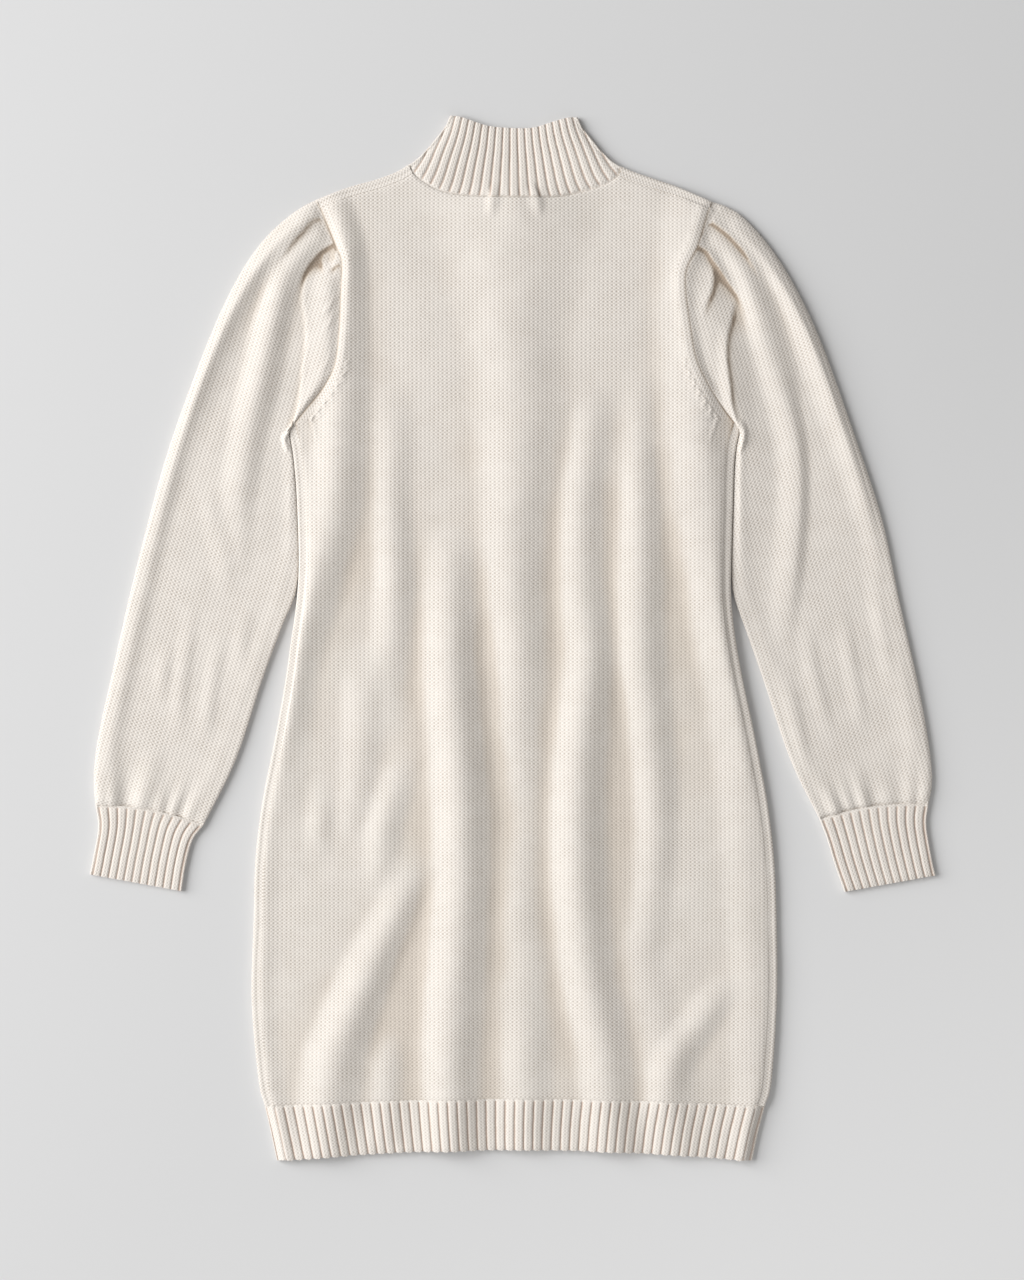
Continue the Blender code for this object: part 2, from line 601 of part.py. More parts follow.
def make_cuff(side, collection, finish):
    """One ribbed cuff: a short flat tube."""
    outer, inner = Line(CUFF_OUTER[side]), Line(CUFF_INNER[side])
    sleeve = Line(SLEEVE_OUTER[side])
    up_sleeve = (sleeve.share(0.5) - sleeve.share(0.9)).normalized()
    slices = []
    for along in (0.0, 0.35, 0.7, 1.0):
        start, end = outer.share(along), inner.share(along)
        width = (end - start).length
        bow = CUFF_BOW * (1 - along)
        drop = SEAM / 2 if along == 0 else 0

        def across(share, start=start, end=end, bow=bow, drop=drop):
            return mix(start, end, share) + up_sleeve * (4 * bow * share * (1 - share) - drop)

        top = [(EDGE_STATION, TOP + EDGE_RISE)] + [(width * i / 6, TOP) for i in range(1, 6)]
        top.append((width - EDGE_STATION, TOP + EDGE_RISE))
        slices.append((tube_section(width, top, even(5)), width, across, across))
    make_tube("cuff_left" if side == LEFT else "cuff_right", slices, finish, collection)


def make_collar(collection, finish):
    """The ribbed mock neck: a short flat tube whose front reaches lower than its back."""
    back, front = (moved_chords(points, tube_clear) for points in (BACK_NECK, FRONT_NECK))
    top_edge = Line(COLLAR_TOP)
    sides = {side: Line(COLLAR_SIDE[side]) for side in (LEFT, RIGHT)}
    slices = []
    for up in (0.0, 0.3, 0.65, 1.0):

        def across(share, base, up=up):
            bulges = [sides[s].share(up) - mix(sides[s].share(0), sides[s].share(1), up) for s in (LEFT, RIGHT)]
            return mix(base.share(share), top_edge.share(share), up) + mix(*bulges, share)

        width = back.length
        inset = (WRAP + SEAM) / width
        top = [(width * share, TOP) for share in [inset, *inner_shares(back), 1 - inset]]
        section = tube_section(width, top, inner_shares(front))
        slices.append((section, width, partial(across, base=back), partial(across, base=front)))
    make_tube("collar", slices, finish, collection)


def clear_scene():
    """Removes what a new scene holds."""
    for item in list(bpy.data.objects):
        bpy.data.objects.remove(item, do_unlink=True)


def main():
    """Builds the nine pieces in one collection."""
    clear_scene()
    collection = bpy.data.collections.new("sweater_dress")
    bpy.context.scene.collection.children.link(collection)
    body = knit_finish("body_knit", (0.74, 0.70, 0.63))
    rib = knit_finish("rib_knit", (0.72, 0.67, 0.60))
    front_pieces(collection, body)
    back_pieces(collection, body)
    for side in (LEFT, RIGHT):
        make_sleeve(side, collection, body)
        make_cuff(side, collection, rib)
    make_collar(collection, rib)


if __name__ == "__main__":
    main()
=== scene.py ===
"""A cream sweater dress laid flat on its front, knitted in stockinette with ribbed hem, cuffs and neck.

The dress lies on z = 0 with its back up, its collar towards +Y and the wearer's left sleeve at -X. Tables are in
millimetres, and every mesh is made in metres over the solid of its cut piece.
"""

from __future__ import annotations

import logging
import math
from dataclasses import dataclass, field
from enum import Enum
from typing import NamedTuple, Sequence

import bpy
import numpy as np
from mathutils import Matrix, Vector

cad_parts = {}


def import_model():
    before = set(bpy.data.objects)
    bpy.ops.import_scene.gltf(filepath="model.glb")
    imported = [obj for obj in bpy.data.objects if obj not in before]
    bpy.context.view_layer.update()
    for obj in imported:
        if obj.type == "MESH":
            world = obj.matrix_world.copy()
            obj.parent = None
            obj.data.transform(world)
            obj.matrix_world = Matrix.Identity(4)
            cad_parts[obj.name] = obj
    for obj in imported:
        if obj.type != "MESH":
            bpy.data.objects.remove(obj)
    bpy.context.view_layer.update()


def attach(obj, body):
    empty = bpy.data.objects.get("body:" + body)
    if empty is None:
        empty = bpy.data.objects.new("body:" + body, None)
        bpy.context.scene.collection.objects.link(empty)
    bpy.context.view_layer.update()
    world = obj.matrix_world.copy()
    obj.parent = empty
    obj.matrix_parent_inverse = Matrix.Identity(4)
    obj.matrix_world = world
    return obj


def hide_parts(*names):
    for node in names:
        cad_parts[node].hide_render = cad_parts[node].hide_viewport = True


LOG = logging.getLogger("sweater_dress")

Array = np.ndarray
Point = tuple[float, float]
Path = tuple[Point, ...]
Colour = tuple[float, float, float]

MM = 0.001
WALL = 2.5  # thickness of the body's knit
RIB_WALL = 2.0  # thickness of the ribs' knit
LEVEL = 6.4  # height of the upper layer's face where nothing lifts it
FOLD_RADIUS = 2.8  # half the height of an edge that is folded over
FOLD_SQUARE = 0.65  # below 1, the folded edge's section is squarer than round
WRAP = 8.5  # how far the front reaches over the sides and shoulders
ASLANT = 1.5  # what that grows by at the underarm, where the armhole's seam crosses it aslant
UNDERARM_ROLL = 6.0  # how far the bottom layer starts from the armhole's lower end
CORNER_INSET = 1.6  # how far the front's folded edge stays back from it
SEAM = 0.08  # gap between two pieces
SEAM_SHADOW = 0.8  # strength of the thin painted shadow along an armhole seam
SEAM_SHADOW_WIDTH = 1.4
SIDE_DIP = 0.25  # how far the cloth goes down at its seams at the sides and armholes
WALE = 3.9  # width of a column of stitches
COURSE = 3.05  # height of a row of stitches
RIB_PITCH = 8.7  # distance between two ribs
RIB_STEP = 2.6  # distance between two rows of a rib's grid
RIB_DIP = 2.0  # width of the dip where a rib meets its seam
SLOW_NOISE, QUICK_NOISE = 22.0, 130.0  # scales of the noises by which stitches wander
ARMHOLE_REACH = 30.0  # distance from an armhole over which its seam shapes the cloth
BOTTOM_LAYER = 2.6  # height below which a face's centre is in the bottom layer
MERGE = 0.02  # distance within which the patches' borders become one
CURVE_STEPS = 10  # steps of a curve between two of its points
TANGENT = 1.5  # half the length over which a curve's direction is read

# Distances from a seam at which a grid has a row or a column, and the same beside the curled stitches
SEAM_STATIONS = (0.0, 0.9, 2.0, 3.5, 5.5)
FINE_STATIONS = (0.0, 0.9, 2.0, 3.1, 4.3, 5.6, 6.9, 8.2, 9.5, 10.8, 12.1, 13.4, 14.8, 16.5)


class Side(Enum):
    """The side of the dress as it lies."""

    LEFT = -1
    RIGHT = 1


class Knit(Enum):
    """The two knits, by the record's material slot."""

    BODY = "body_knit"
    RIB = "rib_knit"


def smoothstep(share: Array) -> Array:
    """A smooth rise from 0 to 1."""
    share = np.clip(share, 0.0, 1.0)
    return share * share * (3 - 2 * share)


def fold_section(turn: Array, square: float = FOLD_SQUARE) -> tuple[Array, Array]:
    """A folded edge's section over half a turn, as shares of its radius.

    Args:
        turn: Angles from -90 degrees at the bottom to 90 degrees at the top.
        square: The section's power, which is 1 where it is round.

    Returns:
        How far out and how high each place is.
    """
    out = np.clip(np.cos(turn), 0, 1) ** square
    return out, np.sign(np.sin(turn)) * np.abs(np.sin(turn)) ** square


def near_end(share: Array, part: float) -> Array:
    """A smooth rise from 0 to 1 over the last part of a length, for shares of its way."""
    return smoothstep((share - 1 + part) / part)


@dataclass(frozen=True)
class Valleys:
    """How much painted shade the cloth takes in the valleys between its folds."""

    reach: int  # how many places of the grid away the cloth round a valley is
    full: float  # by how much deeper than start a valley would be at a painted shade of 1
    most: float  # the most painted shade
    start: float = 0.4  # depth below the cloth round it at which a valley starts to take painted shade

    def depth(self, height: Array) -> Array:
        """How far each place of a grid lies below the cloth round it.

        Args:
            height: Heights, rows by columns.

        Returns:
            The depth at each place, never below 0.
        """
        taps = np.exp(-(np.arange(-2 * self.reach, 2 * self.reach + 1) / self.reach) ** 2)
        taps /= taps.sum()
        smooth = height
        for _ in range(2):
            padded = np.pad(smooth, ((2 * self.reach, 2 * self.reach), (0, 0)), mode="edge")
            smooth = sum(tap * padded[index:index + len(smooth)] for index, tap in enumerate(taps)).T
        return np.clip(smooth - height, 0, None)

    def darkness(self, height: Array) -> Array:
        """How much painted shade each place of a grid of heights takes."""
        return np.clip((self.depth(height) - self.start) / self.full, 0, self.most)


def seam_shadow(away: Array) -> Array:
    """How much painted shadow the cloth takes at distances from an armhole's seam."""
    return SEAM_SHADOW * np.exp(-((away / SEAM_SHADOW_WIDTH) ** 2))


def between(low: Array, high: Array, left: Array, right: Array, up: Array, across: Array) -> Array:
    """Rows of points from one line to another, whose ends follow an edge on each side.

    Args:
        low: The first row's points.
        high: The last row's points.
        left: Each row's first point.
        right: Each row's last point.
        up: The rows' shares of the way from the first row to the last one.
        across: The columns' shares of the way from the left edge to the right one.

    Returns:
        Rows by columns of points.
    """
    left_bulge, right_bulge = (edge - (edge[0] + (edge[-1] - edge[0]) * up[:, None]) for edge in (left, right))
    rows = low + (high - low) * up[:, None, None]
    return rows + (left_bulge[:, None] + (right_bulge - left_bulge)[:, None] * across[None, :, None])


def stations(length: float, step: float, first: bool = True, last: bool = True,
             beside: Sequence[float] = SEAM_STATIONS) -> Array:
    """Distances along a length that lie closer together beside a seam.

    Args:
        length: The whole length.
        step: The distance between two stations away from seams.
        first: Whether a seam runs at the start.
        last: Whether a seam runs at the end.
        beside: The distances beside a seam.

    Returns:
        The distances, from 0 to the length.
    """
    close = np.array(beside)
    start = close if first else close[:1]
    end = length - (close[::-1] if last else close[:1])
    count = max(1, round((end[0] - start[-1]) / step))
    return np.concatenate([start[:-1], np.linspace(start[-1], end[0], count + 1), end[1:]])


class Curve:
    """A smooth plane curve through given points."""

    def __init__(self, points: Sequence[Point]) -> None:
        """Draws the curve.

        Args:
            points: The points that it runs through.
        """
        knots = np.array(points, float)
        knots = np.vstack([2 * knots[0] - knots[1], knots, 2 * knots[-1] - knots[-2]])
        t = (np.arange(CURVE_STEPS) / CURVE_STEPS)[:, None]
        spans = []
        for before, start, end, after in zip(knots, knots[1:], knots[2:], knots[3:]):
            spans.append(0.5 * (2 * start + (end - before) * t + (2 * before - 5 * start + 4 * end - after) * t**2
                                + (3 * start - before - 3 * end + after) * t**3))
        self.points = np.vstack([*spans, knots[-2:-1]])
        lengths = np.linalg.norm(np.diff(self.points, axis=0), axis=1)
        self.at = np.concatenate([[0.0], np.cumsum(lengths)])
        self.length = float(self.at[-1])

    def point(self, distance: Array) -> Array:
        """The points at distances along the curve."""
        return np.stack([np.interp(distance, self.at, self.points[:, axis]) for axis in (0, 1)], -1)

    def share(self, share: Array) -> Array:
        """The points at shares of the curve's length."""
        return self.point(np.asarray(share) * self.length)

    def aside(self, distance: Array, offset: Array) -> Array:
        """The points at distances along the curve, moved to the left of its direction.

        Args:
            distance: Distances along the curve.
            offset: How far each point moves.

        Returns:
            The moved points.
        """
        ahead = self.point(np.asarray(distance) + TANGENT) - self.point(np.asarray(distance) - TANGENT)
        left = np.stack([-ahead[..., 1], ahead[..., 0]], -1)
        left /= np.linalg.norm(left, axis=-1, keepdims=True) + 1e-9
        return self.point(distance) + left * np.asarray(offset)[..., None]

    def across(self, y: Array) -> Array:
        """The curve's x at heights y, for a curve that runs down the dress."""
        return np.interp(y, self.points[::-1, 1], self.points[::-1, 0])

    def near(self, plane: Array, reach: float) -> tuple[Array, Array]:
        """Measures points against the curve.

        Args:
            plane: Plane points, in any shape.
            reach: How far from the curve a point still matters.

        Returns:
            The distance, positive on the left of the curve's direction, and the share along the curve.
        """
        flat = plane.reshape(-1, 2)
        side, along = np.full(len(flat), 1e6), np.zeros(len(flat))
        low, high = self.points.min(0) - reach, self.points.max(0) + reach
        close = np.flatnonzero(((flat >= low) & (flat <= high)).all(1))
        starts, spans = self.points[:-1], np.diff(self.points, axis=0)
        squares = (spans**2).sum(1) + 1e-12
        for part in np.array_split(close, max(1, len(close) // 20000)):
            away = flat[part][:, None] - starts[None]
            share = np.clip((away * spans).sum(-1) / squares, 0, 1)
            rest = away - share[..., None] * spans
            best = (rest**2).sum(-1).argmin(1)
            row = np.arange(len(part))
            cross = spans[best, 0] * away[row, best, 1] - spans[best, 1] * away[row, best, 0]
            side[part] = np.sign(cross) * np.linalg.norm(rest[row, best], axis=1)
            along[part] = (self.at[best] + share[row, best] * np.sqrt(squares[best])) / self.length
        return side.reshape(plane.shape[:-1]), along.reshape(plane.shape[:-1])


class Crest(NamedTuple):
    """A place on a fold's crest, with the fold's height there and the widths of its two flanks."""

    x: float
    y: float
    height: float
    left: float
    right: float


@dataclass(frozen=True)
class Crease:
    """A soft ridge in the cloth, or a trough where its height is negative, along crests from the collar down."""

    crests: tuple[Crest, ...]

    def rise(self, plane: Array) -> Array:
        """How far the crease lifts the cloth.

        Args:
            plane: Plane points.

        Returns:
            The rise at each point.
        """
        table = np.array(self.crests)
        curve = Curve(table[:, :2])
        side, along = curve.near(plane, table[:, 3:].max())
        at = curve.at[::CURVE_STEPS] / curve.length
        height, left, right = (np.interp(along, at, table[:, column]) for column in (2, 3, 4))
        away = np.clip(np.abs(side) / np.where(side > 0, right, left), 0, 1)
        return height * 0.5 * (1 + np.cos(np.pi * away))


def make_creases(*tables: tuple[tuple[float, float, float, float, float], ...]) -> tuple[Crease, ...]:
    """Creases from tables with a row of (x, y, height, left, right) for each crest."""
    return tuple(Crease(tuple(Crest(*row) for row in table)) for table in tables)


@dataclass(frozen=True)
class Lip:
    """The folded edge of a pleat, which lies on the cloth beside it: a step down along a path."""

    path: Path
    over: Side  # the side of a path that runs down the dress on which the cloth is higher
    rise: float = 4.0
    reach: float = 14.0  # how far the cloth slopes up to the lip
    drop: float = 3.0  # width of the step itself
    fade_in: float = 0.0
    fade_out: float = 0.5
    # strength of the painted shadow below the lip
    shadow: float = 1.0

    def strength(self, along: Array) -> Array:
        """The step's share of its whole height at shares along its path."""
        return smoothstep(along / max(self.fade_in, 1e-3)) * smoothstep((1 - along) / max(self.fade_out, 1e-3))

    def apply(self, plane: Array, height: Array, crevice: Array) -> None:
        """Steps the cloth down at the lip and paints shade on the cloth below it.

        Args:
            plane: Plane points.
            height: Their heights, raised in place.
            crevice: How much painted shade they take, raised in place.
        """
        side, along = Curve(self.path).near(plane, 2.5 * self.reach)
        side = side * self.over.value
        strength = self.strength(along) * (np.abs(side) < 2.4 * self.reach)
        step = smoothstep(side / self.drop + 0.5)
        height += self.rise * strength * step * np.exp(-(np.clip(side, 0, None) / self.reach) ** 2)
        near = np.exp(-(side / np.where(side > 0, 0.6 * self.drop, 2.4)) ** 2)
        crevice += self.shadow * strength * (1.1 * near + 0.4 * (side < 0) * np.exp(-(side / 9.0) ** 2))


def unevenness(plane: Array, seed: float) -> Array:
    """Slow rises and dips of soft cloth, about a millimetre high.

    Args:
        plane: Plane points.
        seed: Moves the pattern.

    Returns:
        The rise at each point.
    """
    x, y = plane[..., 0], plane[..., 1]
    total = 0.34 * np.sin(x / 23 + 1.7 * np.sin(y / 61 + seed) + seed)
    total += 0.30 * np.sin(y / 31 + 1.3 * np.sin(x / 47 - seed) + 2 * seed)
    total += 0.22 * np.sin((x + 0.7 * y) / 14.5 + 1.1 * np.sin(y / 38 + 3 * seed))
    total += 0.16 * np.sin((0.6 * x - y) / 9.7 + 1.4 * np.sin(x / 29 + seed))
    return total


@dataclass
class Patch:
    """A grid of cloth: rows by columns of points and of pattern coordinates, both with the grid's first two axes."""

    points: Array
    pattern: Array
    crevice: Array | None = None  # how much painted shade a place takes, from 0 to 1
    edge_pattern: Array | None = None
    edge_columns: int = 0
    edge_rows: tuple[int, int] = (0, 0)


@dataclass
class ClothPiece:
    """A cut piece of the dress, made of patches that meet at their borders."""

    name: str
    knit: Knit
    flat: tuple[float, float]
    area: float
    rests_on: tuple[str, ...]
    patches: list[Patch] = field(default_factory=list)
    wall: float = WALL

    def grid(self, patch: Patch) -> bpy.types.Object:
        """Adds one grid and lays it on a patch.

        Args:
            patch: Where the grid goes.

        Returns:
            The grid's object.
        """
        tall, wide = patch.points.shape[0] - 1, patch.points.shape[1] - 1
        bpy.ops.mesh.primitive_grid_add(x_subdivisions=wide, y_subdivisions=tall, size=2.0, calc_uvs=True)
        made = bpy.context.active_object
        mesh = made.data
        flat = np.empty(len(mesh.vertices) * 3, np.float32)
        mesh.vertices.foreach_get("co", flat)
        place = flat.reshape(-1, 3)
        column = np.rint((place[:, 0] + 1) / 2 * wide).astype(int)
        row = np.rint((place[:, 1] + 1) / 2 * tall).astype(int)
        mesh.vertices.foreach_set("co", (patch.points[row, column] * MM).astype(np.float32).ravel())
        # the amount of painted shade, which the finish reads
        crevice = mesh.attributes.new("Crevice", "FLOAT", "POINT")
        if patch.crevice is not None:
            crevice.data.foreach_set("value", patch.crevice[row, column].astype(np.float32))
        corner = np.empty(len(mesh.loops), np.int32)
        mesh.loops.foreach_get("vertex_index", corner)
        uv = patch.pattern[row[corner], column[corner]]
        if patch.edge_pattern is not None:
            low_column = column[corner].reshape(-1, 4).min(1)
            low_row = row[corner].reshape(-1, 4).min(1)
            in_band = (low_column < patch.edge_columns) | (low_column >= wide - patch.edge_columns)
            in_band &= (low_row >= patch.edge_rows[0]) & (low_row < patch.edge_rows[1])
            uv = np.where(np.repeat(in_band, 4)[:, None], patch.edge_pattern[row[corner], column[corner]], uv)
        mesh.uv_layers[0].name = "Knit"
        mesh.uv_layers["Knit"].data.foreach_set("uv", uv.astype(np.float32).ravel())
        mesh.update()
        return made

    def join(self, grids: list[bpy.types.Object]) -> bpy.types.Object:
        """Joins the grids, merges their borders and turns the faces outwards.

        Args:
            grids: The patches' objects.

        Returns:
            The joined object.
        """
        for grid in grids:
            grid.select_set(True)
        bpy.context.view_layer.objects.active = grids[0]
        if len(grids) > 1:
            bpy.ops.object.join()
        made = bpy.context.view_layer.objects.active
        bpy.ops.object.mode_set(mode="EDIT")
        bpy.ops.mesh.select_all(action="SELECT")
        bpy.ops.mesh.remove_doubles(threshold=MERGE * MM)
        bpy.ops.mesh.normals_make_consistent(inside=False)
        bpy.ops.object.mode_set(mode="OBJECT")
        if self.faces_inwards(made.data):
            bpy.ops.object.mode_set(mode="EDIT")
            bpy.ops.mesh.select_all(action="SELECT")
            bpy.ops.mesh.flip_normals()
            bpy.ops.object.mode_set(mode="OBJECT")
        return made

    @staticmethod
    def faces_inwards(mesh: bpy.types.Mesh) -> bool:
        """Tells whether the faces look into the cloth: up in the bottom layer, or down in a piece without one.

        Args:
            mesh: The piece's mesh.

        Returns:
            Whether the faces have to be turned.
        """
        count = len(mesh.polygons)
        centre, normal, area = np.empty(count * 3), np.empty(count * 3), np.empty(count)
        mesh.polygons.foreach_get("center", centre)
        mesh.polygons.foreach_get("normal", normal)
        mesh.polygons.foreach_get("area", area)
        height, up = centre[2::3], normal[2::3] * area
        low = height < BOTTOM_LAYER * MM
        return bool(up[low].sum() > 0) if low.sum() > count // 5 else bool(up.sum() < 0)

    def build(self, material: bpy.types.Material) -> bpy.types.Object:
        """Makes the piece, dresses it and sets it in the frame.

        Args:
            material: The piece's finish.

        Returns:
            The finished piece.
        """
        bpy.ops.object.select_all(action="DESELECT")
        made = self.join([self.grid(patch) for patch in self.patches])
        made.name = made.data.name = self.name + "_cloth"
        made.data.materials.clear()
        made.data.materials.append(material)
        wall = made.modifiers.new("Wall", "SOLIDIFY")
        wall.thickness = self.wall * MM
        wall.offset = -1
        wall.use_quality_normals = True
        bpy.ops.object.modifier_apply(modifier=wall.name)
        places = np.empty(len(made.data.vertices) * 3, np.float32)
        made.data.vertices.foreach_get("co", places)
        places[2::3] = np.maximum(places[2::3], 0)
        made.data.vertices.foreach_set("co", places)
        bpy.ops.object.shade_smooth()
        bpy.ops.object.shade_smooth_by_angle(angle=math.radians(60))
        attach(made, "root")
        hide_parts(self.name)
        made.data.calc_loop_triangles()
        LOG.info("%s: %d triangles", made.name, len(made.data.loop_triangles))
        return made


# ---------------------------------------------------------------------------------------------------------------------
# The dress's outline
# ---------------------------------------------------------------------------------------------------------------------


@dataclass(frozen=True)
class Outline:
    """The seams and edges of the dress as it lies, from the shoulder down or from left to right."""

    left_edge: Path = ((-199.8, 178), (-197.6, 165), (-196, 150), (-194.1, 124), (-192.3, 70), (-194.1, 34),
                       (-199.1, -2), (-204.2, -38), (-210.5, -74), (-217.6, -110), (-225.4, -150), (-231.2, -200),
                       (-232.8, -254), (-234.6, -326), (-228.3, -398), (-222.9, -420.3), (-217.4, -445),
                       (-212.1, -469.5))
    right_edge: Path = ((202.2, 178), (200.1, 165), (198.9, 150), (198.1, 124), (196.5, 70), (196.5, 34), (200.5, -2),
                        (207, -38), (214.8, -74), (222, -110), (229.4, -150), (235.2, -200), (237.4, -254),
                        (237.6, -326), (232.8, -398), (227, -420.3), (220.6, -445), (215.4, -469.5))
    # How far a row bows up in its middle, as (y at the sides, bow)
    bows: Path = ((34, 0), (-2, 0.4), (-110, 1.6), (-200, 2.8), (-326, 4.8), (-398, 6), (-420.3, 6.3), (-445, 8),
                  (-469.5, 9.6))
    armhole_left: Path = ((-176.1, 394.2), (-167.6, 373), (-159, 351.9), (-153.6, 337.5), (-154.5, 308.7),
                          (-155.8, 276.3), (-159.9, 244.8), (-170.2, 225), (-184.5, 207.3), (-202.2, 185.4))
    armhole_right: Path = ((178.5, 392.4), (172.4, 373), (165.9, 351.9), (156, 331.2), (155.1, 312.3),
                           (158.7, 284.4), (164.1, 252.5), (174, 230), (188.4, 207.5), (205.5, 186))
    shoulder_left: Path = ((-176.1, 394.2), (-148.2, 404.9), (-122.1, 412.4), (-104.1, 419.2), (-93.3, 425.7))
    shoulder_right: Path = ((178.5, 392.4), (150.6, 404.6), (129.9, 411.8), (109.2, 419), (98.4, 423.6))
    back_neck: Path = ((-93.3, 425.7), (-88.8, 416.1), (-70.8, 403.7), (-52.8, 398.2), (-32.6, 396), (-5.1, 395.1),
                       (22.8, 395.1), (43.5, 396), (64.2, 400.9), (82, 407), (94.6, 414.4), (98.4, 423.6))
    front_neck: Path = ((-93.3, 425.7), (-84, 394), (-48, 359), (2.5, 347), (53, 359), (89, 393), (98.4, 423.6))
    hem_seam: float = -420.3
    hem: float = -469.5
    underarm: float = 178.0

    def armhole(self, side: Side) -> Curve:
        """The armhole's seam on one side."""
        return Curve(self.armhole_left if side is Side.LEFT else self.armhole_right)

    def shoulder(self, side: Side) -> Curve:
        """The shoulder's fold on one side."""
        return Curve(self.shoulder_left if side is Side.LEFT else self.shoulder_right)

    def bow(self, heights: Array) -> Array:
        """How far rows at these heights bow up in their middle."""
        table = np.array(self.bows)[::-1]
        return np.interp(heights, table[:, 0], table[:, 1])

    def body_rows(self, heights: Array, shares: Array, inset: float) -> Array:
        """Plane points of the body's rows below the underarms.

        Args:
            heights: Each row's y at the sides.
            shares: Where the columns cross a row.
            inset: How far the first and last columns lie inside the edges.

        Returns:
            Rows by columns of plane points.
        """
        left = Curve(self.left_edge).across(heights) + inset
        right = Curve(self.right_edge).across(heights) - inset
        x = left[:, None] + (right - left)[:, None] * shares
        y = heights[:, None] + 4 * self.bow(heights)[:, None] * shares * (1 - shares)
        return np.stack([x, y], -1)

    def upper_rows(self, neck: Curve, shoulder_inset: float, side_inset: float, step: float,
                   beside: Sequence[float] = SEAM_STATIONS, fine: float = 0.0) -> tuple[Array, Array, int]:
        """Plane points of a panel above the underarms, between the armholes, the shoulders and the neck.

        Args:
            neck: The panel's neck seam.
            shoulder_inset: How far the top row lies below the shoulders' folds.
            side_inset: How far along the armholes the first row starts.
            step: The distance between two columns or rows.
            beside: The columns' distances beside the armholes.
            fine: How far up from the underarm the rows lie twice as close.

        Returns:
            Rows by columns of points, the columns' shares, and the number of columns on a shoulder.
        """
        holes = {side: self.armhole(side) for side in Side}
        lines = {}
        across = self.shoulder(Side.LEFT).length
        along = stations(across, step, last=False, beside=beside) / across
        for side in Side:
            fold = self.shoulder(side)
            line = fold.aside(along * fold.length, np.full(len(along), side.value * shoulder_inset))
            line[0] = holes[side].point(shoulder_inset)
            line[-1] = neck.point(shoulder_inset if side is Side.LEFT else neck.length - shoulder_inset)
            lines[side] = line
        middle = neck.point(stations(neck.length - 2 * shoulder_inset, step, False, False) + shoulder_inset)
        top = np.vstack([lines[Side.LEFT][:-1], middle, lines[Side.RIGHT][-2::-1]])
        lengths = np.concatenate([[0], np.cumsum(np.linalg.norm(np.diff(top, axis=0), axis=1))])
        shares = lengths / lengths[-1]
        tall = holes[Side.LEFT].length - side_inset - shoulder_inset
        close = np.linspace(0, fine, round(2.2 * fine / step) + 1)[:-1]
        up = np.concatenate([close, fine + stations(tall - fine, step, first=False)]) / tall
        left, right = (hole.point(hole.length - side_inset - up * (hole.length - side_inset - shoulder_inset))
                       for hole in holes.values())
        low = left[0] + (right[0] - left[0]) * shares[:, None]
        return between(low, top, left, right, up, shares), shares, len(along) - 1


# ---------------------------------------------------------------------------------------------------------------------
# The body
# ---------------------------------------------------------------------------------------------------------------------


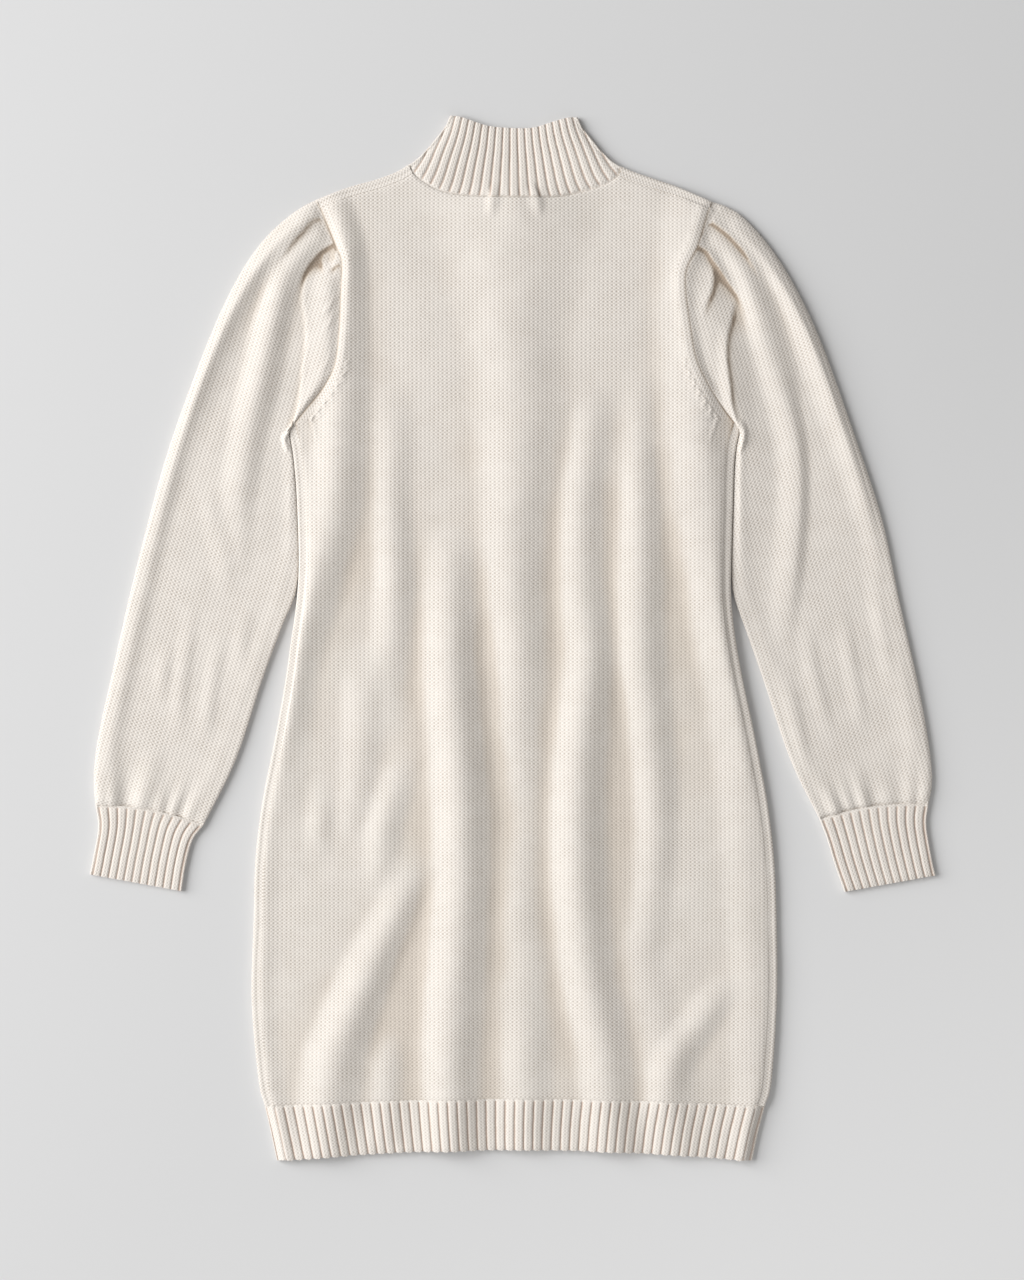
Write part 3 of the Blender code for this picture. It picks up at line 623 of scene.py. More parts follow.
@dataclass(frozen=True)
class BackDrape:
    """The height of the dress's upper face: the folds of its back and the soft roll beside each armhole."""

    outline: Outline
    folds: tuple[Crease, ...] = make_creases(
        ((-58, 106, 0, 27, 27), (-57, 70, 3.5, 29, 29), (-56, 16, 7, 32, 32), (-55, -38, 8.5, 34, 34),
         (-50, -92, 8.5, 34, 34), (-46, -164, 9, 36, 36), (-47, -236, 9, 36, 36), (-53, -308, 8.5, 36, 38),
         (-56, -380, 8, 34, 36), (-56, -474, 7, 32, 34)),
        ((73, 232, 0, 23, 23), (70, 187, 2.5, 23, 23), (62, 124, 4.5, 25, 27), (62, 52, 4.8, 29, 29),
         (68, -20, 7, 31, 31), (61, -92, 8, 32, 34), (58, -164, 8, 33, 34), (60, -236, 8, 33, 34),
         (68, -308, 7, 33, 33), (82, -380, 6.5, 32, 33), (89, -474, 5, 31, 31)),
        ((115, 241, 0, 20, 20), (114, 196, 2, 20, 20), (114, 124, 4.5, 23, 25), (115, 52, 6, 29, 29),
         (116, -20, 6, 29, 29), (124, -92, 5, 27, 27), (128, -164, 4, 25, 25), (124, -236, 2.5, 23, 23),
         (118, -290, 1.5, 23, 23), (128, -335, 1.5, 27, 27), (139, -380, 3, 31, 31), (143, -474, 3, 29, 29)),
        ((1, 403, 4.5, 90, 90), (0, 340, 5, 72, 72), (0, 268, 5.5, 52, 54), (5, 196, 6, 49, 50), (2, 124, 6, 41, 43),
         (2, 52, 5.5, 34, 38), (6, -20, 5.5, 32, 34), (7, -92, 3.5, 29, 31), (11, -164, 2, 25, 25),
         (7, -236, 2.5, 25, 27), (12, -308, 3, 31, 31), (11, -380, 4, 29, 31), (10, -474, 3.5, 29, 29)),
        ((-109, 232, 0, 22, 22), (-108, 178, 2, 22, 23), (-109, 124, 3, 22, 23), (-107, 52, 4.5, 23, 25),
         (-109, -2, 3.5, 25, 25), (-114, -56, 1.5, 27, 27), (-116, -92, 0, 27, 27)),
        ((-92, -96, 0, 18, 18), (-106, -137, 2.5, 20, 22), (-117, -173, 3.5, 20, 23), (-119, -209, 1.5, 18, 22),
         (-119, -236, 0, 18, 18)),
        ((-79, -191, 0, 22, 22), (-100, -236, 4, 25, 23), (-133, -308, 7, 31, 29), (-151, -353, 7.5, 32, 32),
         (-163, -389, 7, 34, 36), (-170, -474, 4.5, 32, 34)),
        ((200, -303, 0, 18, 18), (179, -330, 2.5, 22, 20), (160, -357, 3.5, 23, 22), (143, -384, 3, 23, 23),
         (136, -411, 2, 22, 22), (133, -434, 0, 22, 22)),
        ((-161, 398, 2, 13, 16), (-153, 372, 4, 14, 18), (-147, 340, 5, 15, 20), (-148, 286, 5, 18, 24),
         (-153, 232, 5.5, 22, 31), (-157, 187, 6.5, 29, 34), (-161, 124, 7, 32, 36), (-175, 52, 6, 23, 31),
         (-190, -2, 4.5, 20, 29), (-199, -56, 3, 20, 27), (-204, -128, 1.5, 20, 25), (-206, -191, 0, 18, 18)),
        ((166, 390, 3, 36, 32), (163, 340, 5, 40, 31), (161, 286, 5.5, 41, 31), (166, 232, 6.5, 43, 31),
         (170, 187, 6.5, 45, 29), (174, 124, 6.5, 43, 29), (179, 52, 6, 34, 25), (188, -11, 5, 31, 22),
         (200, -74, 3.5, 31, 20), (206, -146, 2.5, 27, 20), (212, -236, 2.5, 27, 20), (214, -326, 2.5, 25, 20),
         (212, -474, 2, 23, 18)),
        ((-130, -2, 0, 22, 22), (-136, -56, 2.5, 23, 23), (-136, -101, 2.5, 23, 23), (-145, -164, 1, 18, 18),
         (-146, -191, 0, 18, 18)),
        ((-172, -119, 0, 16, 16), (-173, -164, 2, 16, 16), (-175, -209, 0, 16, 16)),
        ((-107, -348, 0, 18, 18), (-112, -384, 2.2, 20, 20), (-114, -443, 1.5, 20, 20)),
        ((-20, 400, 2.2, 4, 13), (-20, 389, 2, 4, 11), (-21, 376, 0, 4, 7)),
        ((22, 400, 2.2, 13, 4), (24, 389, 2, 11, 4), (25, 376, 0, 7, 4)),
        ((2, 400, 1.6, 23, 23), (2, 381, 1, 23, 23), (2, 365, 0, 23, 23)),
    )
    fullness: float = 1.12  # by which all the folds are raised
    roll: tuple[float, float, float] = (1.3, 10.0, 9.0)  # the rolled sides' height, distance from the edge and width
    band_height: float = 1.2
    band_inset: float = 6.0  # distance from the armhole
    band_width: float = 5.5
    mark_count: int = 8
    mark_start: float = 12.0  # the first mark's distance from the armhole's lower end
    mark_pitch: float = 9.0
    mark_inset: float = 11.5  # distance from the armhole
    mark_height: float = 1.5
    mark_width: float = 1.7  # of each flank
    mark_lean: float = 1.3  # how far a mark curls to each side
    hidden_share: float = 0.3  # of each fold that the layer below takes
    uneven: float = 0.8  # strength of the cloth's slow unevenness

    def rise(self, plane: Array) -> Array:
        """How far the folds lift the cloth."""
        return self.fullness * sum(fold.rise(plane) for fold in self.folds)

    def band(self, plane: Array) -> Array:
        """The narrow roll beside the armhole seams.

        Args:
            plane: Plane points of the back.

        Returns:
            The rise at each point.
        """
        total = np.zeros(plane.shape[:-1])
        for side in Side:
            away, along = self.outline.armhole(side).near(plane, ARMHOLE_REACH)
            away = np.abs(away)
            roll = np.exp(-(((away - self.band_inset) / self.band_width) ** 2)) * (away < ARMHOLE_REACH)
            total += self.band_height * (1 - 0.45 * along) * roll
        return total

    def marks(self, plane: Array) -> Array:
        """The small curled stitches in a row beside each armhole, where the knit narrows.

        Args:
            plane: Plane points of the back.

        Returns:
            The rise at each point.
        """
        total = np.zeros(plane.shape[:-1])
        for side in Side:
            hole = self.outline.armhole(side)
            at = hole.length - self.mark_start - self.mark_pitch * np.arange(self.mark_count)
            for index, (x, y) in enumerate(hole.aside(at, np.full(len(at), -side.value * self.mark_inset))):
                lean, rise = side.value * self.mark_lean, self.mark_height * (1 - 0.09 * index)
                path = ((-lean, 4.6), (0.7 * lean, 1.6), (-0.7 * lean, -1.6), (lean, -4.6))
                curl = (Crest(x + dx, y + dy, rise, self.mark_width, self.mark_width) for dx, dy in path)
                total += Crease(tuple(curl)).rise(plane)
        return total

    def rolled(self, plane: Array) -> Array:
        """How far the cloth is lifted beside the dress's sides.

        Args:
            plane: Plane points of the back.

        Returns:
            The rise at each point.
        """
        lift, inset, width = self.roll
        left, right = (Curve(edge).across(plane[..., 1]) for edge in (self.outline.left_edge, self.outline.right_edge))
        away = np.minimum(plane[..., 0] - left, right - plane[..., 0])
        below = smoothstep((self.outline.underarm + UNDERARM_ROLL - plane[..., 1]) / ARMHOLE_REACH)
        return lift * below * np.exp(-(((away - inset) / width) ** 2))

    def height(self, plane: Array) -> Array:
        """The upper face's height.

        Args:
            plane: Plane points.

        Returns:
            The height at each point.
        """
        slow = LEVEL + self.rise(plane) + self.uneven * unevenness(plane, 0.6)
        return slow + self.band(plane) + self.rolled(plane) + self.marks(plane)

    def hidden(self, plane: Array) -> Array:
        """How far the layer below is lifted under the folds."""
        return self.hidden_share * np.clip(self.rise(plane) - 0.8, 0, None)


def seam_dip(away: Array, depth: float = 0.6, width: float = 1.2) -> Array:
    """How far the cloth goes down at a distance from its seam."""
    return depth * np.exp(-((away / width) ** 2))


def distances(points: Array, axis: int) -> Array:
    """The distance of each point of a grid from the grid's start along one axis.

    Args:
        points: A grid of plane points.
        axis: 0 along the columns or 1 along the rows.

    Returns:
        The distances.
    """
    steps = np.linalg.norm(np.diff(points, axis=axis), axis=-1)
    return np.concatenate([np.zeros_like(np.take(steps, [0], axis=axis)), np.cumsum(steps, axis=axis)], axis=axis)


@dataclass
class BackPanel:
    """The back of the dress, from the hem's ribs to the neck, between the seams at the sides and shoulders."""

    outline: Outline
    drape: BackDrape
    step: float = 2.9
    flat: tuple[float, float] = (0.47, 0.86)
    area: float = 0.33
    fine_height: float = 80.0  # height above the underarms over which the rows lie closer
    valleys: Valleys = Valleys(reach=15, full=4.2, most=0.6)
    edge_wales: float = 2.2  # columns of stitches that follow an armhole

    def patch(self) -> Patch:
        """Lays out the back.

        Returns:
            The back as one grid.
        """
        inset = WRAP + SEAM
        upper, shares, _ = self.outline.upper_rows(Curve(self.outline.back_neck), inset, inset + ASLANT, self.step,
                                                   FINE_STATIONS, self.fine_height)
        tall = self.outline.underarm - self.outline.hem_seam
        heights = self.outline.hem_seam + stations(tall, self.step, last=False)
        lower = self.outline.body_rows(heights[:-1], shares, inset)
        plane = np.vstack([lower, upper])
        height = self.drape.height(plane)
        across, along = distances(plane, 1), distances(plane, 0)
        for away in (across, across[:, -1:] - across):
            height -= seam_dip(away, SIDE_DIP)
        for away in (along, along[-1:] - along):
            height -= seam_dip(away)
        # painted shade in the valleys, and a painted shadow along each armhole seam
        crevice = self.valleys.darkness(height)
        pattern = np.stack([plane[..., 0] / WALE, plane[..., 1] / COURSE], -1)
        edge_pattern = np.zeros_like(pattern)
        for side in Side:
            hole = self.outline.armhole(side)
            away, share = hole.near(plane, ARMHOLE_REACH)
            away = np.abs(away)
            beside = np.stack([away / WALE, share * hole.length / COURSE], -1)
            edge_pattern = np.where((away < ARMHOLE_REACH)[..., None], beside, edge_pattern)
            crevice += seam_shadow(away)
        columns = int(np.searchsorted(across[len(lower) + 20], self.edge_wales * WALE))
        return Patch(np.dstack([plane, height]), pattern, crevice, edge_pattern, columns,
                     (len(lower) + 2, len(plane)))

    def pieces(self) -> list[ClothPiece]:
        """The back."""
        return [ClothPiece("back_panel", Knit.BODY, self.flat, self.area, ("front_panel_cloth",), [self.patch()])]


@dataclass
class FrontPanel:
    """The front of the dress: the bottom layer, and the strips that reach over the sides and shoulders."""

    outline: Outline
    drape: BackDrape
    step: float = 3.6
    turns: int = 9  # facets round a fold
    crown_share: float = 0.65  # how much of the back's rise at the seam the fold takes up
    crown_range: tuple[float, float] = (-0.4, 7.0)  # the lowest and the highest of those rises
    strip_shares: tuple[float, ...] = (0.25, 0.5, 0.7, 0.88, 1.0)  # the columns from the fold to the seam on top
    hidden_fade: float = 25.0  # distance from the edges over which the hidden folds start
    flat: tuple[float, float] = (0.50, 0.88)
    area: float = 0.36

    def over_fold(self, base: Array, extreme: Array, seam: Array) -> Array:
        """Points over a folded edge, from the bottom layer to the seam on top.

        Args:
            base: Plane points where the bottom layer leaves the floor.
            extreme: The same number of points on the folded edge.
            seam: The same number of points on the seam.

        Returns:
            Rows by columns of points, with the columns running over the fold.
        """
        turn = np.linspace(0, np.pi, self.turns + 1)
        out, up = fold_section(turn - np.pi / 2)
        plane = base[:, None] + (extreme - base)[:, None] * out[None, :, None]
        height = np.repeat(FOLD_RADIUS * (1 + up)[None], len(base), axis=0)
        share = np.array(self.strip_shares)
        top = base[:, None] + (seam - base)[:, None] * share[None, :, None]
        seam_height = self.drape.height(seam)[:, None] - SIDE_DIP
        crown = 2 * FOLD_RADIUS + np.clip(seam_height + SIDE_DIP - LEVEL, *self.crown_range) * self.crown_share
        lift = np.sin(turn / 2)[None] ** 2
        height = height + (crown - 2 * FOLD_RADIUS) * lift
        top_height = seam_height + (crown - seam_height) * (1 - share[None] ** 3)
        return np.dstack([np.concatenate([plane, top], 1), np.concatenate([height, top_height], 1)])

    def strip(self, base: Array, extreme: Array, seam: Array, mirrored: bool) -> Patch:
        """A strip round a folded edge.

        Args:
            base: Where the bottom layer leaves the floor.
            extreme: The folded edge.
            seam: The seam on top.
            mirrored: Whether the strip runs the other way round.

        Returns:
            The strip.
        """
        points = self.over_fold(base, extreme, seam)
        round_it = np.linalg.norm(np.diff(points, axis=1), axis=-1).cumsum(1)
        u = np.concatenate([np.zeros((len(points), 1)), round_it], 1) / WALE
        v = distances(points[..., :2], 0)[:, :1] / COURSE + np.zeros_like(u)
        pattern = np.stack([-u if mirrored else u, v], -1)
        return Patch(points, pattern)

    def patches(self) -> list[Patch]:
        """Lays out the front.

        Returns:
            The bottom layer, both side strips and both shoulder strips.
        """
        outline = self.outline
        upper, shares, count = outline.upper_rows(Curve(outline.front_neck), FOLD_RADIUS, UNDERARM_ROLL, self.step)
        tall = outline.underarm - outline.hem_seam
        heights = outline.hem_seam + SEAM + stations(tall, self.step, last=False)
        lower = outline.body_rows(heights[:-1], shares, FOLD_RADIUS)
        plane = np.vstack([lower, upper])
        across, along = distances(plane, 1), distances(plane, 0)
        edges = np.minimum(np.minimum(across, across[:, -1:] - across), np.minimum(along, along[-1:] - along))
        rise = self.drape.hidden(plane) * smoothstep(edges / self.hidden_fade)
        flat = Patch(np.dstack([plane, rise]), np.stack([plane[..., 0] / WALE, plane[..., 1] / COURSE], -1))
        made = [flat]
        insets = {inset: outline.body_rows(heights, np.array([0.0, 1.0]), inset) for inset in (0.0, WRAP)}
        for side in Side:
            column = 0 if side is Side.LEFT else -1
            hole = outline.armhole(side)
            base = plane[:len(heights), column]
            extreme, seam = (insets[inset][:, column].copy() for inset in (0.0, WRAP))
            extreme[-1], seam[-1] = (hole.point(hole.length - inset) for inset in (CORNER_INSET, WRAP + ASLANT))
            made.append(self.strip(base, extreme, seam, side is Side.RIGHT))
        for side in Side:
            fold, hole = outline.shoulder(side), outline.armhole(side)
            top = plane[-1][:count + 1] if side is Side.LEFT else plane[-1][:-count - 2:-1]
            at = np.concatenate([[0], np.linalg.norm(np.diff(top, axis=0), axis=1).cumsum()])
            at *= fold.length / at[-1]
            seam = fold.aside(at, np.full(len(at), side.value * WRAP))
            back_neck = Curve(outline.back_neck)
            seam[0] = hole.point(WRAP)
            seam[-1] = back_neck.point(WRAP if side is Side.LEFT else back_neck.length - WRAP)
            made.append(self.strip(top, fold.point(at), seam, side is Side.RIGHT))
        return made

    def pieces(self) -> list[ClothPiece]:
        """The front."""
        return [ClothPiece("front_panel", Knit.BODY, self.flat, self.area, (), self.patches())]


# ---------------------------------------------------------------------------------------------------------------------
# The ribs
# ---------------------------------------------------------------------------------------------------------------------


@dataclass(frozen=True)
class RibForm:
    """Ribs in section: rounded bands with narrow grooves between them."""

    depth: float = 1.4
    sharpness: float = 4.5
    per_rib: int = 10  # columns of the back's grid for each rib
    start: float = 0.8  # distance from its seam at which a tube's groove starts
    run: float = 2.5  # length over which it then reaches its depth

    def rise(self, ribs: Array) -> Array:
        """The ribs' rise below their crests, for places counted in ribs, with a groove at each whole number."""
        return -self.depth * np.abs(2 * (ribs - np.floor(ribs)) - 1) ** self.sharpness


def outward(place: Array, height: Array) -> Array:
    """The outward directions of sections that run from the top, round the left side and along the bottom.

    Args:
        place: Places across, rows by columns.
        height: Their heights.

    Returns:
        Unit vectors in the sections' planes.
    """
    along = np.stack([np.gradient(place, axis=1), np.gradient(height, axis=1)], -1)
    along /= np.linalg.norm(along, axis=-1, keepdims=True) + 1e-9
    return np.stack([along[..., 1], -along[..., 0]], -1)


@dataclass
class HemRibs:
    """The two halves of the ribbed hem."""

    outline: Outline
    drape: BackDrape
    form: RibForm = RibForm()
    crown: float = 1.2  # the bands' rise above the cloth
    back_ribs: int = 50
    front_ribs: int = 54
    front_per_rib: int = 8  # columns of the bottom layer for each rib
    fold_turns: int = 12  # facets round a fold
    tall: float = 49.0
    dip: float = 1.6  # how far the ribs go down at their seam
    edge_drop: float = 0.9  # how far they go down at their edge
    scallop: float = 0.5  # how far a band reaches past the grooves beside it at the edge
    front_flat: tuple[float, float] = (0.50, 0.053)
    front_area: float = 0.025
    back_flat: tuple[float, float] = (0.46, 0.053)
    back_area: float = 0.022

    def heights(self) -> Array:
        """The rows' places from the seam down to the edge."""
        return self.outline.hem_seam - stations(self.outline.hem_seam - self.outline.hem, RIB_STEP, last=False)

    def back_patch(self) -> Patch:
        """Lays out the back's half.

        Returns:
            The back's ribs as one grid.
        """
        rows = self.heights()[::-1]
        shares = np.linspace(0, 1, self.back_ribs * self.form.per_rib + 1)
        plane = self.outline.body_rows(rows, shares, WRAP + SEAM)
        down = (self.outline.hem_seam - rows[:, None]) / (self.outline.hem_seam - self.outline.hem)
        ribs = shares[None] * self.back_ribs + 0 * rows[:, None]
        full = smoothstep(0.35 + down / 0.12)
        height = self.drape.height(plane) + self.crown + self.form.rise(ribs) * full
        height -= seam_dip(down * self.tall, self.dip, RIB_DIP)
        plane[..., 1] -= self.scallop * np.cos(2 * np.pi * (ribs - 0.5)) * near_end(down, 0.2)
        height -= self.edge_drop * near_end(down, 0.05)
        pattern = np.stack([ribs, (self.outline.hem_seam - rows[:, None]) / COURSE + 0 * ribs], -1)
        return Patch(np.dstack([plane, height]), pattern)

    def front_patch(self) -> Patch:
        """Lays out the front's half, with the strips that reach over the sides.

        Returns:
            The front's ribs as one grid.
        """
        rows = (self.heights() - SEAM)[::-1]
        turn = np.linspace(0, np.pi, self.fold_turns + 1)
        strip_in = (WRAP - FOLD_RADIUS) * np.array([0.2, 0.45, 0.7, 1.0])
        out, up = fold_section(np.pi / 2 - turn)
        inset = np.concatenate([(FOLD_RADIUS + strip_in)[::-1], FOLD_RADIUS * (1 - out)])
        low = np.concatenate([np.full(len(strip_in), 2.0), 1 + up]) * FOLD_RADIUS
        count = self.front_ribs * self.front_per_rib
        left, right = (self.outline.body_rows(rows, np.array([0.0, 1.0]), 0.0)[:, end] for end in (0, 1))
        width = (right - left)[:, :1]
        middle = FOLD_RADIUS + (width - 2 * FOLD_RADIUS) * np.linspace(0, 1, count + 1)[None, 1:-1]
        place = np.concatenate([inset + 0 * width, middle, width - inset[::-1]], 1)
        height = np.concatenate([low, np.zeros(count - 1), low[::-1]]) + 0 * width
        meet = self.drape.height(self.outline.body_rows(rows, np.array([0.0, 1.0]), WRAP)) + self.crown
        climb = smoothstep(strip_in[::-1] / strip_in[-1])
        height[:, :len(climb)] += (meet[:, :1] - 2 * FOLD_RADIUS) * climb
        height[:, -len(climb):] += (meet[:, 1:] - 2 * FOLD_RADIUS) * climb[::-1]
        normal = outward(place, height)
        round_it = np.hypot(np.diff(place, axis=1), np.diff(height, axis=1)).cumsum(1)
        whole = np.round(round_it[:, -1].mean() / RIB_PITCH)
        ribs = np.concatenate([np.zeros_like(width), round_it], 1) / round_it[:, -1:] * whole
        lower = self.form.rise(ribs)
        place, height = place + normal[..., 0] * lower, height + normal[..., 1] * lower
        share = place / width
        flat = self.outline.body_rows(rows, np.array([0.0]), 0.0)
        plane = flat + np.stack([place, 0 * place], -1)
        plane[..., 1] += 4 * self.outline.bow(rows)[:, None] * share * (1 - share)
        pattern = np.stack([ribs, (self.outline.hem_seam - rows[:, None]) / COURSE + 0 * ribs], -1)
        return Patch(np.dstack([plane, height]), pattern)

    def pieces(self) -> list[ClothPiece]:
        """Both halves.

        Returns:
            The front's and the back's ribs.
        """
        front = ClothPiece("front_hem_rib", Knit.RIB, self.front_flat, self.front_area, (), [self.front_patch()],
                           RIB_WALL)
        back = ClothPiece("back_hem_rib", Knit.RIB, self.back_flat, self.back_area, ("front_hem_rib_cloth",),
                          [self.back_patch()], RIB_WALL)
        return [front, back]


# ---------------------------------------------------------------------------------------------------------------------
# Flattened tubes: sleeves, cuffs and collar
# ---------------------------------------------------------------------------------------------------------------------


@dataclass(frozen=True)
class FlatTube:
    """A flattened tube in section: the inner fold, the top layer, the outer fold and the bottom layer.

    Places across are measured from the outer fold's extreme, so that they run from 0 to the tube's width.
    """

    top: int
    bottom: int
    turns: int = 8
    radius: float = FOLD_RADIUS
    close_start: float = 0.0  # columns crowd this much towards the outer fold on top
    inner_square: float = FOLD_SQUARE

    def shares(self) -> Array:
        """The top layer's stations from the outer fold to the inner one, as shares of its width."""
        even = np.linspace(0, 1, self.top + 1)
        return even - self.close_start * np.sin(np.pi * even) ** 2 / np.pi * (1 - 0.5 * even)

    def sections(self, width: Array) -> tuple[Array, Array, slice, slice]:
        """The stations round the tube for each row.

        Args:
            width: Each row's width.

        Returns:
            Places across, heights, and which columns are the top and the bottom layer.
        """
        width = width[:, None]
        turn = np.linspace(-np.pi / 2, np.pi / 2, self.turns + 1)
        radius = self.radius
        out, up = fold_section(turn)
        inner = width - radius + radius * fold_section(turn, self.inner_square)[0]
        outer = radius - radius * out[::-1] + 0 * width
        top = radius + (width - 2 * radius) * self.shares()[::-1]
        bottom = radius + (width - 2 * radius) * np.linspace(0, 1, self.bottom + 1)
        round_it = radius * (1 + up)
        inner_up = radius * (1 + fold_section(turn, self.inner_square)[1])
        place = np.concatenate([inner, top[:, 1:-1], outer, bottom[:, 1:]], 1)
        height = np.concatenate([inner_up, np.full(self.top - 1, 2 * radius), round_it[::-1],
                                 np.zeros(self.bottom)]) + 0 * width
        start = self.turns
        stop = start + self.top + 1
        return place, height, slice(start, stop), slice(stop + self.turns, place.shape[1])


@dataclass(frozen=True)
class SleeveShape:
    """One sleeve's edges and its folds, each path from the shoulder down."""

    side: Side
    outer: Path
    inner: Path
    lips: tuple[Lip, ...]
    creases: tuple[Crease, ...]
    outer_rim: tuple[float, float, float] = (2.6, 11.0, 9.0)  # height, distance from the edge, width
    inner_rim: tuple[float, float, float] = (0.6, 14.0, 9.0)
    cuff_bow: float = 5.0

    def plane(self, seam: Curve, along: Array, shares: int = 48, rounds: int = 900) -> Array:
        """Spreads rows and columns over the sleeve so that none of them cross.

        Args:
            seam: The armhole's seam, from the shoulder down.
            along: The rows' shares from the armhole to the cuff.
            shares: How many steps the smoothed grid has each way.
            rounds: How often it is smoothed.

        Returns:
            Rows by columns of plane points, from the outer edge to the inner one.
        """
        outer, inner = Curve(self.outer), Curve(self.inner)
        step = np.linspace(0, 1, shares + 1)
        up_sleeve = outer.share(0.5) - outer.share(0.9)
        up_sleeve /= np.linalg.norm(up_sleeve)
        top = seam.share(step)
        left, right = outer.share(step), inner.share(step)
        left[0], right[0] = top[0], top[-1]
        cuff = left[-1] + (right[-1] - left[-1]) * step[:, None]
        cuff = cuff + up_sleeve * (4 * self.cuff_bow * step * (1 - step))[:, None]
        grid = between(top, cuff, left, right, step, step)
        for _ in range(rounds):
            tall = (grid[2:, 1:-1] - grid[:-2, 1:-1]) / 2
            wide = (grid[1:-1, 2:] - grid[1:-1, :-2]) / 2
            a, b, c = ((x * y).sum(-1, keepdims=True) for x, y in ((wide, wide), (tall, tall), (wide, tall)))
            twist = (grid[2:, 2:] - grid[2:, :-2] - grid[:-2, 2:] + grid[:-2, :-2]) / 4
            grid[1:-1, 1:-1] = (a * (grid[2:, 1:-1] + grid[:-2, 1:-1]) + b * (grid[1:-1, 2:] + grid[1:-1, :-2])
                                - 2 * c * twist) / (2 * (a + b))
        place = along * shares
        low = np.minimum(place.astype(int), shares - 1)
        part = (place - low)[:, None, None]
        return grid[low] * (1 - part) + grid[low + 1] * part


@dataclass
class Sleeve:
    """A puffed sleeve: a flat tube whose head is pleated into the armhole and gathered into the cuff."""

    shape: SleeveShape
    outline: Outline
    drape: BackDrape
    tube: FlatTube = FlatTube(top=100, bottom=52, turns=8, close_start=0.45, inner_square=0.5)
    long: float = 480.0  # about the length from the armhole to the cuff
    head: float = 80.0  # length below the armhole over which the rows lie closer
    head_step: float = 1.8
    step: float = 2.9
    level: float = 5.4  # height of the top where nothing lifts it
    lean: float = 17.0  # degrees between the sleeve and the dress's middle
    edge_width: float = 4.0  # width over which the top comes down from a folded edge
    edge_folds: float = 0.35  # share of a fold's height at the edge
    full_folds: float = 9.0  # distance from the edge at which a fold has its whole height
    cuff_dip: float = 2.0  # depth and width of the dip above the cuff
    seam_blend: float = 7.0  # length over which the sleeve leaves the height of the body's cloth
    # the most painted shade that the top layer takes
    darkest: float = 1.3
    under_lift: float = 1.4  # strength of the underside's own unevenness
    under_fade: float = 20.0  # distance from its edges over which that starts
    gather_height: float = 1.2
    gather_length: float = 26.0
    valleys: Valleys = Valleys(reach=8, full=2.4, most=0.7)
    flat: tuple[float, float] = (0.44, 0.56)
    area: float = 0.14

    def patch(self) -> Patch:
        """Lays out the sleeve.

        Returns:
            The sleeve as one grid that closes on itself.
        """
        seam = self.outline.armhole(self.shape.side)
        head = stations(self.head, self.head_step, last=False)
        rows = np.concatenate([head, self.head + stations(self.long - self.head, self.step, False)[1:]])
        grid = self.shape.plane(seam, rows / self.long)
        lengths = distances(grid, 1)
        width = lengths[:, -1]
        place, height, top, bottom = self.tube.sections(width)
        share = place / width[:, None] * (grid.shape[1] - 1)
        low = np.clip(share.astype(int), 0, grid.shape[1] - 2)
        part = (share - low)[..., None]
        row = np.arange(len(grid))[:, None]
        plane = grid[row, low] * (1 - part) + grid[row, low + 1] * part
        down = distances(grid, 0)[:, grid.shape[1] // 2]
        drop = down[:, None] + 0 * place

        on_top, across = plane[:, top], place[:, top]
        edge = np.minimum(across, width[:, None] - across) - self.tube.radius
        level = self.level + (2 * self.tube.radius - self.level) * np.exp(-((edge / self.edge_width) ** 2))
        rims = ((self.shape.outer_rim, across), (self.shape.inner_rim, width[:, None] - across))
        for (rim, inset, wide), away in rims:
            level += rim * np.exp(-(((away - inset) / wide) ** 2))
        rise = sum(crease.rise(on_top) for crease in self.shape.creases) + unevenness(on_top, 2.1) * 0.8
        rise += self.gathers(across / width[:, None], drop[:, top], down[-1])
        top_height = level + rise * (self.edge_folds + (1 - self.edge_folds) * smoothstep(edge / self.full_folds))
        # painted shade under the pleats' lips and in the valleys between the folds, and a painted shadow along the
        # armhole seam
        folded = np.zeros_like(top_height)
        for lip in self.shape.lips:
            lip.apply(on_top, top_height, folded)
        top_height -= seam_dip(down[-1] - drop[:, top], self.cuff_dip, self.cuff_dip)
        folded += self.valleys.darkness(top_height)
        crevice = np.zeros_like(height)
        crevice[:, top] = np.clip(folded + seam_shadow(drop[:, top]), 0, self.darkest)
        at_seam = self.drape.height(on_top[:1]) - 2 * SIDE_DIP
        at_seam = np.where(edge[:1] < self.edge_width, np.minimum(at_seam, top_height[:1]), at_seam)
        top_height += (at_seam - top_height) * np.exp(-((drop[:, top] / self.seam_blend) ** 2))
        height[:, top] = top_height
        under = place[:, bottom]
        edge = np.minimum(under, width[:, None] - under)
        lift = np.clip(unevenness(plane[:, bottom], 4.0) * self.under_lift, 0, None)
        for away in (edge - 8, drop[:, bottom], down[-1] - drop[:, bottom]):
            lift *= smoothstep(away / self.under_fade)
        height[:, bottom] = lift

        return Patch(np.dstack([plane, height]), self.pattern(plane, height, top, bottom), crevice)

    def pattern(self, plane: Array, height: Array, top: slice, bottom: slice) -> Array:
        """The knit's place on the sleeve, whose columns of stitches run straight down it and meet at its inner edge.

        Args:
            plane: Plane points.
            height: Their heights.
            top: The top layer's columns.
            bottom: The bottom layer's columns.

        Returns:
            Pattern coordinates.
        """
        side, lean = self.shape.side.value, math.radians(self.lean)
        across = plane[..., 0] * math.cos(lean) + plane[..., 1] * side * math.sin(lean)
        along = plane[..., 0] * side * math.sin(lean) - plane[..., 1] * math.cos(lean)
        depth = side * np.clip(2 * self.tube.radius - height, 0, None)
        edge = across[:, top.stop - 1:top.stop]
        across[:, :top.start] -= depth[:, :top.start]
        across[:, top.stop:bottom.start] += depth[:, top.stop:bottom.start]
        across[:, bottom] = 2 * (edge + side * self.tube.radius) - across[:, bottom]
        return np.stack([across / WALE, along / COURSE], -1)

